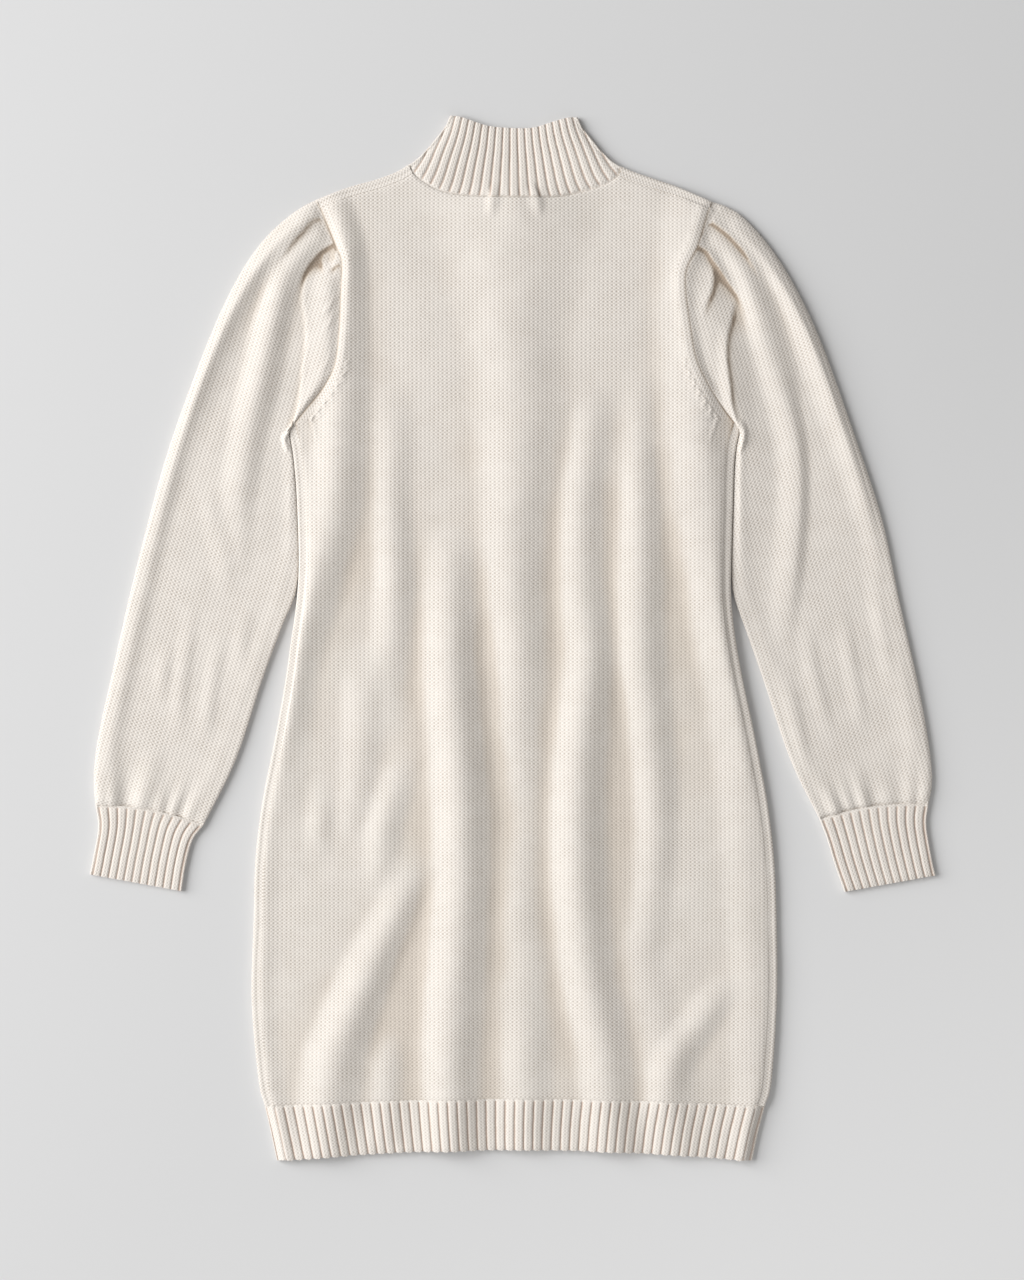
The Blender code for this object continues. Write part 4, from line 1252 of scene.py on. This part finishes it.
    def gathers(self, share: Array, drop: Array, end: float) -> Array:
        """The small puckers above the cuff.

        Args:
            share: Places across, as shares of the width.
            drop: Distances from the armhole.
            end: The cuff's distance from it.

        Returns:
            Their rise.
        """
        near = np.exp(-(((end - drop) / self.gather_length) ** 2))
        waves = 0.6 * np.sin(38 * share + 1.3 * np.sin(9 * share)) + 0.5 * np.sin(23 * share + self.shape.side.value)
        return self.gather_height * near * waves

    def pieces(self) -> list[ClothPiece]:
        """The sleeve."""
        name = f"sleeve_{self.shape.side.name.lower()}"
        return [ClothPiece(name, Knit.BODY, self.flat, self.area, (), [self.patch()])]


@dataclass(frozen=True)
class RibTube:
    """A short ribbed tube, flattened, whose ribs are counted evenly round it."""

    tube: FlatTube
    form: RibForm
    top_ribs: tuple[float, float]  # on the top layer at the first and at the last row
    all_ribs: int
    rows: int

    def lay(self, top_plane: Array, bottom_plane: Array, lift: Array, drop: Array) -> Patch:
        """Lays ribs over a tube.

        Args:
            top_plane: Rows by stations of plane points for the top layer, from the outer side to the inner one.
            bottom_plane: The same for the bottom layer.
            lift: How far the top layer is lifted at each of its stations.
            drop: Each row's distance from the tube's upper end.

        Returns:
            The tube as one grid that closes on itself.
        """
        width = distances(top_plane, 1)[:, -1]
        place, height, top, bottom = self.tube.sections(width)
        half = np.interp(drop, drop[[0, -1]], self.top_ribs)[:, None] / 2
        ribs = np.empty(place.shape)
        ribs[:, :top.start] = -half - 1 + np.arange(top.start) / top.start
        ribs[:, top] = half * np.linspace(-1, 1, top.stop - top.start)
        turn = bottom.start - top.stop + 1
        ribs[:, top.stop:bottom.start] = half + np.arange(1, turn) / turn
        ribs[:, bottom] = half + 1 + (self.all_ribs - 2 * half - 2) * np.linspace(0, 1, bottom.stop - bottom.start)
        ribs += 0.5
        height[:, top] += lift
        mix = np.clip(height / (2 * self.tube.radius), 0, 1)[..., None]
        normal = outward(place, height)
        depth = self.form.rise(ribs) * smoothstep((drop[:, None] - self.form.start) / self.form.run)
        place = place + normal[..., 0] * depth
        height = height + normal[..., 1] * depth
        share = place / width[:, None]
        plane = self.read(bottom_plane, share) * (1 - mix) + self.read(top_plane, share) * mix
        pattern = np.stack([ribs, drop[:, None] / COURSE + 0 * ribs], -1)
        return Patch(np.dstack([plane, height]), pattern)

    @staticmethod
    def read(plane: Array, share: Array) -> Array:
        """Plane points at shares of rows, carried straight on past the rows' ends.

        Args:
            plane: Rows by evenly spaced columns of points.
            share: Rows by columns of shares.

        Returns:
            The points.
        """
        at = share * (plane.shape[1] - 1)
        low = np.clip(np.floor(at).astype(int), 0, plane.shape[1] - 2)
        part = (at - low)[..., None]
        row = np.arange(len(plane))[:, None]
        return plane[row, low] * (1 - part) + plane[row, low + 1] * part


@dataclass
class Cuff:
    """A ribbed cuff."""

    side: Side
    outer: Path
    inner: Path
    up_sleeve: Point
    bow: float = 5.0  # how far the seam curves up the sleeve in its middle
    dip: float = 1.4  # how far the ribs go down at their seam
    uneven: float = 0.7  # strength of the cloth's slow unevenness
    ribs: RibTube = RibTube(FlatTube(top=120, bottom=96, turns=10), RibForm(depth=1.4), (11, 11), 25, 26)
    flat: tuple[float, float] = (0.23, 0.075)
    area: float = 0.0165

    def patch(self) -> Patch:
        """Lays out the cuff.

        Returns:
            The cuff as one grid that closes on itself.
        """
        outer, inner = Curve(self.outer), Curve(self.inner)
        long = outer.length
        down = stations(long, RIB_STEP, last=False)
        start, end = outer.point(down), inner.share(down / long)
        share = np.linspace(0, 1, 61)
        plane = start[:, None] + (end - start)[:, None] * share[None, :, None]
        bow = self.bow * (1 - down / long)
        direction = np.array(self.up_sleeve) / np.hypot(*self.up_sleeve)
        plane = plane + direction * (4 * bow[:, None] * share * (1 - share))[..., None]
        tube = self.ribs.tube
        across = RibTube.read(plane, np.repeat(tube.shares()[::-1][None], len(down), axis=0))
        lift = self.uneven * unevenness(across, 1.0) - seam_dip(down, self.dip, RIB_DIP)[:, None]
        lift -= near_end(down / long, 0.05)[:, None]
        return self.ribs.lay(plane, plane, lift, down)

    def pieces(self) -> list[ClothPiece]:
        """The cuff."""
        name = f"cuff_{self.side.name.lower()}"
        return [ClothPiece(name, Knit.RIB, self.flat, self.area, (), [self.patch()], RIB_WALL)]


@dataclass
class Collar:
    """The ribbed mock neck, whose front reaches lower than its back."""

    outline: Outline
    drape: BackDrape
    top_edge: Path = ((-56, 469.5), (-46.5, 468.2), (-24, 460.8), (-5.1, 458.7), (17.4, 458.7), (36.3, 464),
                      (48.9, 467.5), (58.4, 468))
    left: Path = ((-93.3, 425.7), (-83.4, 432.9), (-72.6, 445), (-62.7, 457.2), (-56, 469.5))
    right: Path = ((98.4, 423.6), (87.6, 430.2), (76.3, 442.3), (64.2, 457.2), (58.4, 468))
    ribs: RibTube = RibTube(FlatTube(top=230, bottom=150, turns=12), RibForm(depth=1.5), (22.5, 17.5), 44, 26)
    tall: float = 62.0
    dip: float = 1.8  # how far the ribs go down at their seam
    edge_drop: float = 0.8  # how far they go down at their edge
    blend: float = 18.0  # height over which the collar leaves the back's own folds
    hollow: float = 3.2  # by which the back's middle lies lower than its sides
    flat: tuple[float, float] = (0.45, 0.10)
    area: float = 0.038

    def layer(self, neck: Curve, up: Array) -> Array:
        """One layer of the collar.

        Args:
            neck: Its seam, from left to right.
            up: The rows' shares from the seam to the top edge.

        Returns:
            Rows by columns of plane points.
        """
        share = np.linspace(0, 1, 161)
        top, left, right = Curve(self.top_edge).share(share), Curve(self.left).share(up), Curve(self.right).share(up)
        return between(neck.share(share), top, left, right, up, share)

    def patch(self) -> Patch:
        """Lays out the collar.

        Returns:
            The collar as one grid that closes on itself.
        """
        back, front = Curve(self.outline.back_neck), Curve(self.outline.front_neck)
        rows = stations(self.tall, RIB_STEP, last=False)
        up = rows / self.tall
        top_plane, bottom_plane = self.layer(back, up), self.layer(front, up)
        tube = self.ribs.tube
        share = np.repeat(tube.shares()[::-1][None], len(up), axis=0)
        plane = RibTube.read(top_plane, share)
        lift = (self.drape.height(plane) - LEVEL) * np.exp(-((rows / self.blend) ** 2))[:, None] - 0.6
        across = 2 * share - 1
        lift += self.hollow * across**2 * (1 - across**6)
        lift -= (seam_dip(rows, self.dip, RIB_DIP) + self.edge_drop * near_end(up, 0.04))[:, None]
        return self.ribs.lay(top_plane, bottom_plane, lift, rows)

    def pieces(self) -> list[ClothPiece]:
        """The collar."""
        patches, below = [self.patch()], ("front_panel_cloth",)
        return [ClothPiece("collar", Knit.RIB, self.flat, self.area, below, patches, RIB_WALL)]


LEFT_SLEEVE = SleeveShape(
    side=Side.LEFT,
    outer=((-176.1, 394.2), (-195.9, 383.4), (-223.8, 358.2), (-248.1, 322.2), (-273.3, 268.2), (-306.6, 178.2),
           (-327.3, 106.2), (-345.3, 34.2), (-361.5, -37.8), (-373.2, -91.8), (-376.8, -127.8), (-375, -150.3)),
    inner=((-202.6, 185.6), (-200.2, 178), (-197.9, 165), (-196.3, 150), (-194.4, 124), (-192.6, 70), (-194.5, 44),
           (-199.8, 28), (-206.8, 12), (-225.2, -37.8), (-249, -109.8), (-277.8, -168.3)),
    lips=(
        Lip(((-173, 377), (-180, 374), (-189, 364), (-197, 355), (-205, 344), (-217, 331)),
            Side.LEFT, 1.8, 13, 2.4, 0.0, 0.6, 0.75),
        Lip(((-161, 354), (-169, 349), (-178, 340), (-185, 331), (-190, 320), (-194, 304)),
            Side.LEFT, 2.2, 14, 2.4, 0.0, 0.6, 0.85),
        Lip(((-178, 338), (-186, 322), (-189, 306), (-187, 288), (-186, 266), (-189, 241), (-191, 221), (-194, 205),
             (-199, 187)),
            Side.RIGHT, 1.5, 22, 3.2, 0.15, 0.05, 0.1),
        Lip(((-170, 349), (-172, 340), (-170, 324)),
            Side.RIGHT, 1.2, 6, 2.4, 0.2, 0.4, 0.6),
        Lip(((-155, 336), (-162, 331), (-164, 324)),
            Side.LEFT, 1.4, 6, 2.0, 0.1, 0.5, 0.8),
    ),
    creases=make_creases(
        ((-175, 362, 2.5, 16, 14), (-186, 351, 4, 18, 16), (-197, 338, 5, 20, 18), (-205, 324, 5.6, 20, 20),
         (-211, 304, 6, 20, 20), (-217, 277, 6.5, 22, 20), (-224, 246, 6, 22, 22), (-231, 214, 5.5, 22, 22),
         (-238, 178, 4.2, 22, 20), (-244, 133, 2.6, 22, 18), (-246, 88, 1, 22, 16), (-249, 34, 0, 20, 16)),
        ((-191, 374, 2, 14, 14), (-213, 353, 3, 18, 18), (-233, 331, 3.5, 20, 22), (-247, 308, 3.5, 20, 23),
         (-260, 281, 3.2, 20, 23), (-274, 245, 2.6, 20, 23), (-288, 205, 2, 20, 22), (-299, 169, 1.5, 20, 22),
         (-315, 124, 0.6, 18, 18), (-326, 88, 0, 18, 18)),
        ((-161, 320, 5, 22, 54), (-163, 295, 5, 24, 54), (-163, 264, 5, 26, 54), (-168, 232, 4.5, 23, 54),
         (-180, 205, 4, 18, 45), (-193, 182, 3, 9, 27), (-195, 151, 1.5, 9, 13), (-197, 70, 0.5, 9, 11)),
        ((-168, 293, 0.8, 3, 3), (-162, 301, 0.9, 3, 3), (-157, 308, 0.6, 3, 3)),
        ((-168, 277, 0.6, 3, 3), (-163, 284, 0.9, 3, 3), (-158, 293, 0.6, 3, 3)),
        ((-172, 239, 0.5, 3, 3), (-165, 248, 0.8, 3, 3), (-162, 257, 0.5, 3, 3)),
        ((-195, 191, 1.5, 4, 4), (-201, 185, 2.5, 4, 4), (-205, 179, 2.2, 4, 4), (-202, 169, 1, 4, 4)),
        ((-276, 135, 0, 13, 13), (-270, 111, 0.8, 14, 14), (-263, 84, 1.1, 16, 14), (-258, 57, 0.8, 16, 13),
         (-256, 34, 0, 13, 13)),
        ((-308, -2, 0, 11, 11), (-314, -31, 1.1, 12, 10), (-317, -60, 0, 11, 11)),
        ((-287, 34, 0, 11, 11), (-293, -11, 1.2, 13, 10), (-299, -56, 1, 12, 10), (-301, -92, 0, 11, 11)),
        ((-262, 7, 0, 11, 11), (-268, -29, 1.1, 12, 10), (-274, -69, 1, 12, 10), (-278, -96, 0, 11, 11)),
        ((-236, 34, 0, 11, 11), (-243, -2, 1, 12, 10), (-249, -38, 0, 11, 11)),
        ((-321, -92, 0, 16, 14), (-325, -137, 2.2, 18, 16), (-326, -151, 2, 16, 16)),
    ),
)
RIGHT_SLEEVE = SleeveShape(
    side=Side.RIGHT,
    outer=((178.5, 392.4), (201, 383.4), (226.2, 358.2), (250.5, 322.2), (276.6, 268.2), (309, 178.2),
           (332.4, 106.2), (347.7, 34.2), (363.9, -37.8), (373.8, -91.8), (377.4, -127.8), (373.9, -149.4)),
    outer_rim=(1.4, 12.0, 10.0),
    inner=((205.9, 186.2), (202.6, 178), (200.4, 165), (199.2, 150), (198.4, 124), (196.8, 70), (197.6, 44),
           (202.6, 26), (208.6, 10), (225.4, -37.8), (249.8, -109.8), (275.7, -162.9)),
    lips=(
        Lip(((177, 373), (182, 370), (191, 363), (200, 354), (207, 346), (218, 329), (226, 313)),
            Side.RIGHT, 2.4, 13, 2.8, 0.0, 0.6, 1.1),
        Lip(((165, 351), (173, 347), (178, 340), (184, 331), (191, 321), (198, 312), (204, 302), (208, 286)),
            Side.RIGHT, 3.2, 13, 2.8, 0.0, 0.6, 1.1),
        Lip(((200, 306), (198, 288), (194, 270), (193, 252), (196, 227), (198, 209), (204, 191), (208, 182)),
            Side.LEFT, 2.2, 18, 2.6, 0.15, 0.3, 0.7),
        Lip(((180, 338), (182, 324), (180, 311), (175, 298), (171, 281)),
            Side.LEFT, 1.8, 7, 3.0, 0.2, 0.5),
    ),
    creases=make_creases(
        ((206, 371, 2, 14, 14), (227, 349, 3.5, 18, 16), (243, 327, 4.5, 20, 16), (256, 304, 4.5, 20, 16),
         (267, 277, 4.5, 22, 16), (279, 241, 4, 22, 16), (291, 205, 3.5, 22, 16), (304, 169, 2.5, 22, 16),
         (317, 124, 1.5, 20, 16), (331, 70, 0, 18, 16)),
        ((179, 365, 3, 13, 14), (196, 346, 4.5, 14, 16), (209, 326, 5.5, 16, 20), (217, 304, 5.5, 16, 22),
         (225, 277, 5, 18, 23), (236, 241, 4.5, 20, 22), (247, 205, 4.2, 22, 15), (255, 169, 3.8, 23, 12),
         (257, 124, 3.6, 23, 11), (253, 70, 3, 22, 12), (248, 30, 1.6, 20, 13), (242, -11, 0, 18, 13)),
        ((167, 338, 4, 54, 27), (169, 313, 4.6, 54, 36), (172, 277, 4.6, 54, 38), (178, 248, 4.2, 54, 38),
         (188, 221, 3.4, 45, 32), (199, 198, 2, 36, 23), (204, 182, 1, 27, 16), (205, 167, 0, 13, 11)),
        ((193, 284, 0, 11, 36), (194, 264, 2.4, 13, 38), (197, 227, 3.2, 14, 40), (203, 192, 3, 14, 41),
         (203, 160, 2.6, 13, 41), (199, 124, 2.6, 11, 41), (197, 88, 2.4, 11, 36), (199, 48, 1.4, 11, 29),
         (206, 16, 0, 11, 25)),
        ((263, 16, 0, 11, 11), (269, -24, 1.2, 13, 10), (278, -60, 1, 12, 10), (286, -92, 0, 11, 11)),
        ((295, 34, 0, 11, 11), (302, -11, 1.1, 12, 10), (310, -56, 1, 12, 10), (314, -87, 0, 11, 11)),
        ((320, 70, 0, 11, 11), (328, 25, 1.2, 12, 10), (336, -20, 1, 12, 10), (341, -56, 0, 11, 11)),
        ((241, -20, 0, 11, 11), (251, -56, 1.2, 12, 10), (259, -96, 1, 12, 10), (264, -123, 0, 11, 11)),
        ((205, 193, 1, 4, 4), (208, 185, 2.2, 4, 4), (207, 176, 2, 4, 4), (203, 167, 0.8, 4, 4)),
    ),
)
LEFT_CUFF = Cuff(Side.LEFT, ((-375, -150.3), (-372.6, -170), (-377, -197), (-380.2, -212.4)),
                 ((-277.8, -168.3), (-287.7, -181.8), (-293.8, -204), (-297.6, -227.7)), (0.17, 0.98))
RIGHT_CUFF = Cuff(Side.RIGHT, ((373.9, -149.4), (372, -168), (376.6, -197), (380.2, -213.3)),
                  ((275.7, -162.9), (282.9, -181.8), (289.6, -204), (298.2, -228.2)), (-0.17, 0.98))


# ---------------------------------------------------------------------------------------------------------------------
# Finishes
# ---------------------------------------------------------------------------------------------------------------------


class ShaderBoard:
    """Adds nodes to a material and joins them."""

    def __init__(self, name: str) -> None:
        """Makes the material with its own shader.

        Args:
            name: The material's name.
        """
        self.material = bpy.data.materials.new(name)
        self.material.use_nodes = True
        self.tree = self.material.node_tree
        self.shader = self.tree.nodes["Principled BSDF"]

    def node(self, kind: str, inputs: dict[str | int, object], **settings: object) -> bpy.types.Node:
        """Adds a node.

        Args:
            kind: Its type.
            inputs: Values or sockets for its inputs.
            settings: Its own settings.

        Returns:
            The node.
        """
        made = self.tree.nodes.new(kind)
        for key, value in settings.items():
            setattr(made, key, value)
        for key, value in inputs.items():
            if isinstance(value, bpy.types.NodeSocket):
                self.tree.links.new(value, made.inputs[key])
            else:
                made.inputs[key].default_value = value
        return made

    def math(self, operation: str, *values: object) -> bpy.types.NodeSocket:
        """The result of a math node."""
        return self.node("ShaderNodeMath", dict(enumerate(values)), operation=operation).outputs[0]

    def step(self, value: object, low: float, high: float, to_low: float = 0.0, to_high: float = 1.0) -> object:
        """A smooth step of a value between two limits.

        Args:
            value: The socket to read.
            low: Where the step starts.
            high: Where it ends.
            to_low: Its result below the start.
            to_high: Its result above the end.

        Returns:
            The result's socket.
        """
        made = self.node("ShaderNodeMapRange", {0: value, 1: low, 2: high, 3: to_low, 4: to_high},
                         interpolation_type="SMOOTHSTEP")
        return made.outputs[0]

    def sway(self, noise: object, amount: float) -> bpy.types.NodeSocket:
        """A noise that swings about 0 instead of 0.5, by this much in all."""
        return self.math("MULTIPLY", self.math("SUBTRACT", noise, 0.5), amount)

    def knit_place(self) -> tuple[bpy.types.NodeSocket, bpy.types.NodeSocket, bpy.types.NodeSocket]:
        """Where a place is on the knit.

        Returns:
            The sockets of its object coordinates, its place across and its place along.
        """
        uv = self.node("ShaderNodeUVMap", {}, uv_map="Knit").outputs[0]
        across, along, _ = self.node("ShaderNodeSeparateXYZ", {0: uv}).outputs
        return self.node("ShaderNodeTexCoord", {}).outputs["Object"], across, along

    def noise(self, vector: object, scale: float, detail: float = 2.0) -> bpy.types.NodeSocket:
        """The value of a noise texture at a place."""
        return self.node("ShaderNodeTexNoise", {"Vector": vector, "Scale": scale, "Detail": detail}).outputs[0]

    def blend(self, share: object, first: object, second: object) -> bpy.types.NodeSocket:
        """Mixes two colours.

        Args:
            share: How much of the second shows.
            first: The first colour.
            second: The second colour.

        Returns:
            The mixed colour's socket.
        """
        made = self.node("ShaderNodeMix", {}, data_type="RGBA")
        for index, value in ((0, share), (6, first), (7, second)):
            if isinstance(value, bpy.types.NodeSocket):
                self.tree.links.new(value, made.inputs[index])
            else:
                made.inputs[index].default_value = (*value, 1.0) if isinstance(value, tuple) else value
        return made.outputs[2]


@dataclass(frozen=True)
class Yarn:
    """A soft woollen yarn's colour, lit and shaded, with darker colours that paint shade in gaps, grooves and folds."""

    # the stitches' tops take the lit copy and their lows the shaded copy, as painted shade
    lit: Colour = (0.79, 0.745, 0.695)
    shade: Colour = (0.68, 0.63, 0.575)
    # painted shade in the gaps between stitches
    gap: Colour = (0.46, 0.395, 0.33)
    # painted shade in the grooves between ribs
    groove: Colour = (0.58, 0.475, 0.405)
    folded: Colour = (0.575, 0.49, 0.40)  # painted shade between folds
    deep: Colour = (0.33, 0.255, 0.19)  # painted shade right under a fold's edge
    roughness: float = 0.92
    sheen: float = 0.25


@dataclass(frozen=True)
class StockinetteFinish:
    """Stockinette: columns of V stitches, with painted shade in the small gaps between them."""

    name: str
    yarn: Yarn
    # how strongly the painted shade in the gaps shows
    gap_strength: float = 0.62
    bump: float = 0.38
    wander: float = 0.2

    def stitches(self, board: ShaderBoard, u: object, v: object) -> tuple[object, object]:
        """The stitches' height and the gaps between them.

        Args:
            board: Where the nodes go.
            u: The place across, in columns of stitches.
            v: The place along, in rows of stitches.

        Returns:
            The sockets of the height and of the gaps, both from 0 to 1: holes between the columns and inside the Vs.
        """
        columns, rows = (board.math("COSINE", board.math("MULTIPLY", value, 2 * math.pi)) for value in (u, v))
        holes = board.math("MULTIPLY", columns, rows)
        height = board.math("MULTIPLY_ADD", holes, -0.4, 0.5)
        height = board.math("MULTIPLY_ADD", columns, -0.18, height)
        gap = board.step(board.math("MULTIPLY_ADD", columns, 0.25, holes), -0.2, 1.15)
        return height, gap

    def material(self) -> bpy.types.Material:
        """Makes the finish.

        Returns:
            The material.
        """
        board = ShaderBoard(self.name)
        place, u, v = board.knit_place()
        slow, quick = board.noise(place, SLOW_NOISE), board.noise(place, QUICK_NOISE)
        u = board.math("ADD", board.math("ADD", u, board.sway(slow, 1.6 * self.wander)), board.sway(quick, self.wander))
        v = board.math("ADD", v, board.sway(quick, 2 * self.wander))
        height, gap = self.stitches(board, u, v)
        self.dress(board, place, height, gap, None)
        return board.material

    def dress(self, board: ShaderBoard, place: object, height: object, gap: object, groove: object) -> None:
        """Joins the pattern to the shader.

        Args:
            board: Where the nodes go.
            place: Object coordinates.
            height: The stitches' height.
            gap: The gaps between them.
            groove: How deep in a groove between ribs a place is, or nothing.
        """
        yarn, shader = self.yarn, board.shader
        patches = board.step(board.noise(place, 60.0, 4.0), 0.35, 0.65, 0.35, 1.15)
        fuzz = board.noise(place, 900.0, 3.0)
        tone = board.math("MULTIPLY_ADD", height, 0.75, board.math("MULTIPLY", fuzz, 0.35))
        # painted shade: the stitches' lows take the shaded copy of the yarn and their tops the lit one, varied at
        # random by the fuzz
        colour = board.blend(board.step(tone, 0.1, 0.95), yarn.shade, yarn.lit)
        # painted shade in the valleys, under the pleats' lips and along the armhole seams, read from the cloth
        crevice = board.node("ShaderNodeAttribute", {}, attribute_name="Crevice").outputs["Fac"]
        colour = board.blend(board.step(crevice, 0.0, 1.0, 0.0, 0.75), colour, yarn.folded)
        colour = board.blend(board.step(crevice, 0.7, 1.15, 0.0, 0.9), colour, yarn.deep)
        # painted shade in the gaps between the stitches, stronger in random patches
        shown = board.math("MULTIPLY", board.math("MULTIPLY", gap, patches), self.gap_strength)
        colour = board.blend(shown, colour, yarn.gap)
        # painted shade in the grooves between ribs
        if groove is not None:
            colour = board.blend(groove, colour, yarn.groove)
        board.tree.links.new(colour, shader.inputs["Base Color"])
        relief = board.math("MULTIPLY_ADD", fuzz, 0.25, height)
        relief = board.math("SUBTRACT", relief, board.math("MULTIPLY", gap, 0.5))
        bump = board.node("ShaderNodeBump", {"Strength": self.bump, "Distance": 0.0009, "Height": relief})
        board.tree.links.new(bump.outputs[0], shader.inputs["Normal"])
        shader.inputs["Roughness"].default_value = yarn.roughness
        shader.inputs["Metallic"].default_value = 0.0
        shader.inputs["Specular IOR Level"].default_value = 0.2
        shader.inputs["Sheen Weight"].default_value = yarn.sheen
        shader.inputs["Sheen Roughness"].default_value = 0.6


@dataclass(frozen=True)
class RibFinish(StockinetteFinish):
    """Ribbing: two columns of stitches on each band, and a narrow groove where the knit turns back."""

    gap_strength: float = 0.35
    bump: float = 0.3
    groove_width: float = 0.11

    def material(self) -> bpy.types.Material:
        """Makes the finish.

        Returns:
            The material.
        """
        board = ShaderBoard(self.name)
        place, u, v = board.knit_place()
        quick = board.noise(place, QUICK_NOISE)
        rib = board.math("FRACT", board.math("ADD", u, board.sway(quick, 0.16)))
        edge = board.math("PINGPONG", rib, 0.5)
        groove = board.step(edge, 0.35 * self.groove_width, 1.25 * self.groove_width, 1.0, 0.0)
        groove = board.math("MULTIPLY", groove, board.step(v, 0.3, 0.9))
        u = board.math("MULTIPLY", board.math("SUBTRACT", rib, self.groove_width), 2.0 / (1 - 2 * self.groove_width))
        v = board.math("ADD", v, board.sway(quick, 0.6))
        height, gap = self.stitches(board, u, v)
        purl = board.math("MULTIPLY", board.math("PINGPONG", v, 0.5), 0.7)
        shown = board.math("SUBTRACT", 1.0, groove)
        height = board.math("ADD", board.math("MULTIPLY", height, shown), board.math("MULTIPLY", purl, groove))
        self.dress(board, place, height, board.math("MULTIPLY", gap, shown), groove)
        return board.material


@dataclass(frozen=True)
class FloorFinish:
    """A plain pale matte floor with painted light that makes it a little lighter towards the lower right."""

    colour: Colour = (0.64, 0.642, 0.646)
    painted_light_colour: Colour = (0.75, 0.752, 0.756)

    def material(self) -> bpy.types.Material:
        """Makes the finish.

        Returns:
            The material.
        """
        board = ShaderBoard("pale_floor")
        parts = board.node("ShaderNodeSeparateXYZ", {0: board.node("ShaderNodeTexCoord", {}).outputs["Object"]}).outputs
        # painted light: the floor grows lighter towards the lower right
        towards = board.math("SUBTRACT", parts[0], parts[1])
        colour = board.blend(board.step(towards, 0.1, 1.1), self.colour, self.painted_light_colour)
        board.tree.links.new(colour, board.shader.inputs["Base Color"])
        board.shader.inputs["Roughness"].default_value = 1.0
        board.shader.inputs["Specular IOR Level"].default_value = 0.0
        return board.material


@dataclass
class Studio:
    """The floor, a large soft light from the left, a weak one from beyond the hem, a pale surround and the camera."""

    view_height: float = 1.152
    centre: tuple[float, float] = (-0.0006, -0.0018)
    distance: float = 3.2
    sensor: float = 36.0
    key_place: tuple[float, float, float] = (-4.2, 1.1, 2.8)
    key_size: float = 4.4
    key_power: float = 400.0
    fill_place: tuple[float, float, float] = (0.8, -3.0, 2.0)
    fill_power: float = 36.0
    surround: float = 0.28
    surround_colour: Colour = (1.0, 0.985, 0.965)
    floor_size: float = 12.0

    def floor(self) -> bpy.types.Object:
        """Lays the floor.

        Returns:
            The floor.
        """
        bpy.ops.object.select_all(action="DESELECT")
        bpy.ops.mesh.primitive_grid_add(x_subdivisions=4, y_subdivisions=4, size=self.floor_size)
        floor = bpy.context.active_object
        floor.name = "floor"
        floor.data.materials.append(FloorFinish().material())
        return floor

    def lights(self) -> None:
        """Sets up the light."""
        world = bpy.data.worlds.new("surround")
        bpy.context.scene.world = world
        world.use_nodes = True
        inputs = world.node_tree.nodes["Background"].inputs
        inputs["Color"].default_value = (*self.surround_colour, 1.0)
        inputs["Strength"].default_value = self.surround
        for name, place, power in (("key", self.key_place, self.key_power), ("fill", self.fill_place, self.fill_power)):
            data = bpy.data.lights.new(name, "AREA")
            data.energy, data.size, data.shape = power, self.key_size, "SQUARE"
            light = bpy.data.objects.new(name, data)
            light.location = place
            light.rotation_euler = (-Vector(place)).to_track_quat("-Z", "Y").to_euler()
            bpy.context.scene.collection.objects.link(light)

    def camera(self) -> None:
        """Hangs the camera over the dress."""
        data = bpy.data.cameras.new("overhead")
        data.sensor_width = self.sensor
        data.lens = self.sensor * self.distance / self.view_height
        data.clip_end = 50.0
        camera = bpy.data.objects.new("overhead", data)
        camera.location = (*self.centre, self.distance)
        bpy.context.scene.collection.objects.link(camera)
        bpy.context.scene.camera = camera
        bpy.context.scene.view_settings.view_transform = "Standard"

    @staticmethod
    def keep_stitches() -> None:
        """Turns the denoiser's prefilter off, because it would smooth the stitches away."""
        bpy.context.scene.cycles.use_denoising = True
        bpy.context.scene.cycles.denoising_prefilter = "NONE"


def main() -> None:
    """Builds the dress and its studio."""
    logging.basicConfig(level=logging.INFO, format="%(name)s: %(message)s")
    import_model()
    studio = Studio()
    studio.camera()
    studio.keep_stitches()
    studio.lights()
    studio.floor()
    outline = Outline()
    drape = BackDrape(outline)
    yarn = Yarn()
    finishes = {Knit.BODY: StockinetteFinish("cream_stockinette", yarn).material(),
                Knit.RIB: RibFinish("cream_ribbing", yarn).material()}
    parts = [FrontPanel(outline, drape), BackPanel(outline, drape), HemRibs(outline, drape),
             Sleeve(LEFT_SLEEVE, outline, drape), LEFT_CUFF, Sleeve(RIGHT_SLEEVE, outline, drape), RIGHT_CUFF,
             Collar(outline, drape)]
    for part in parts:
        for piece in part.pieces():
            piece.build(finishes[piece.knit])


if __name__ == "__main__":
    main()
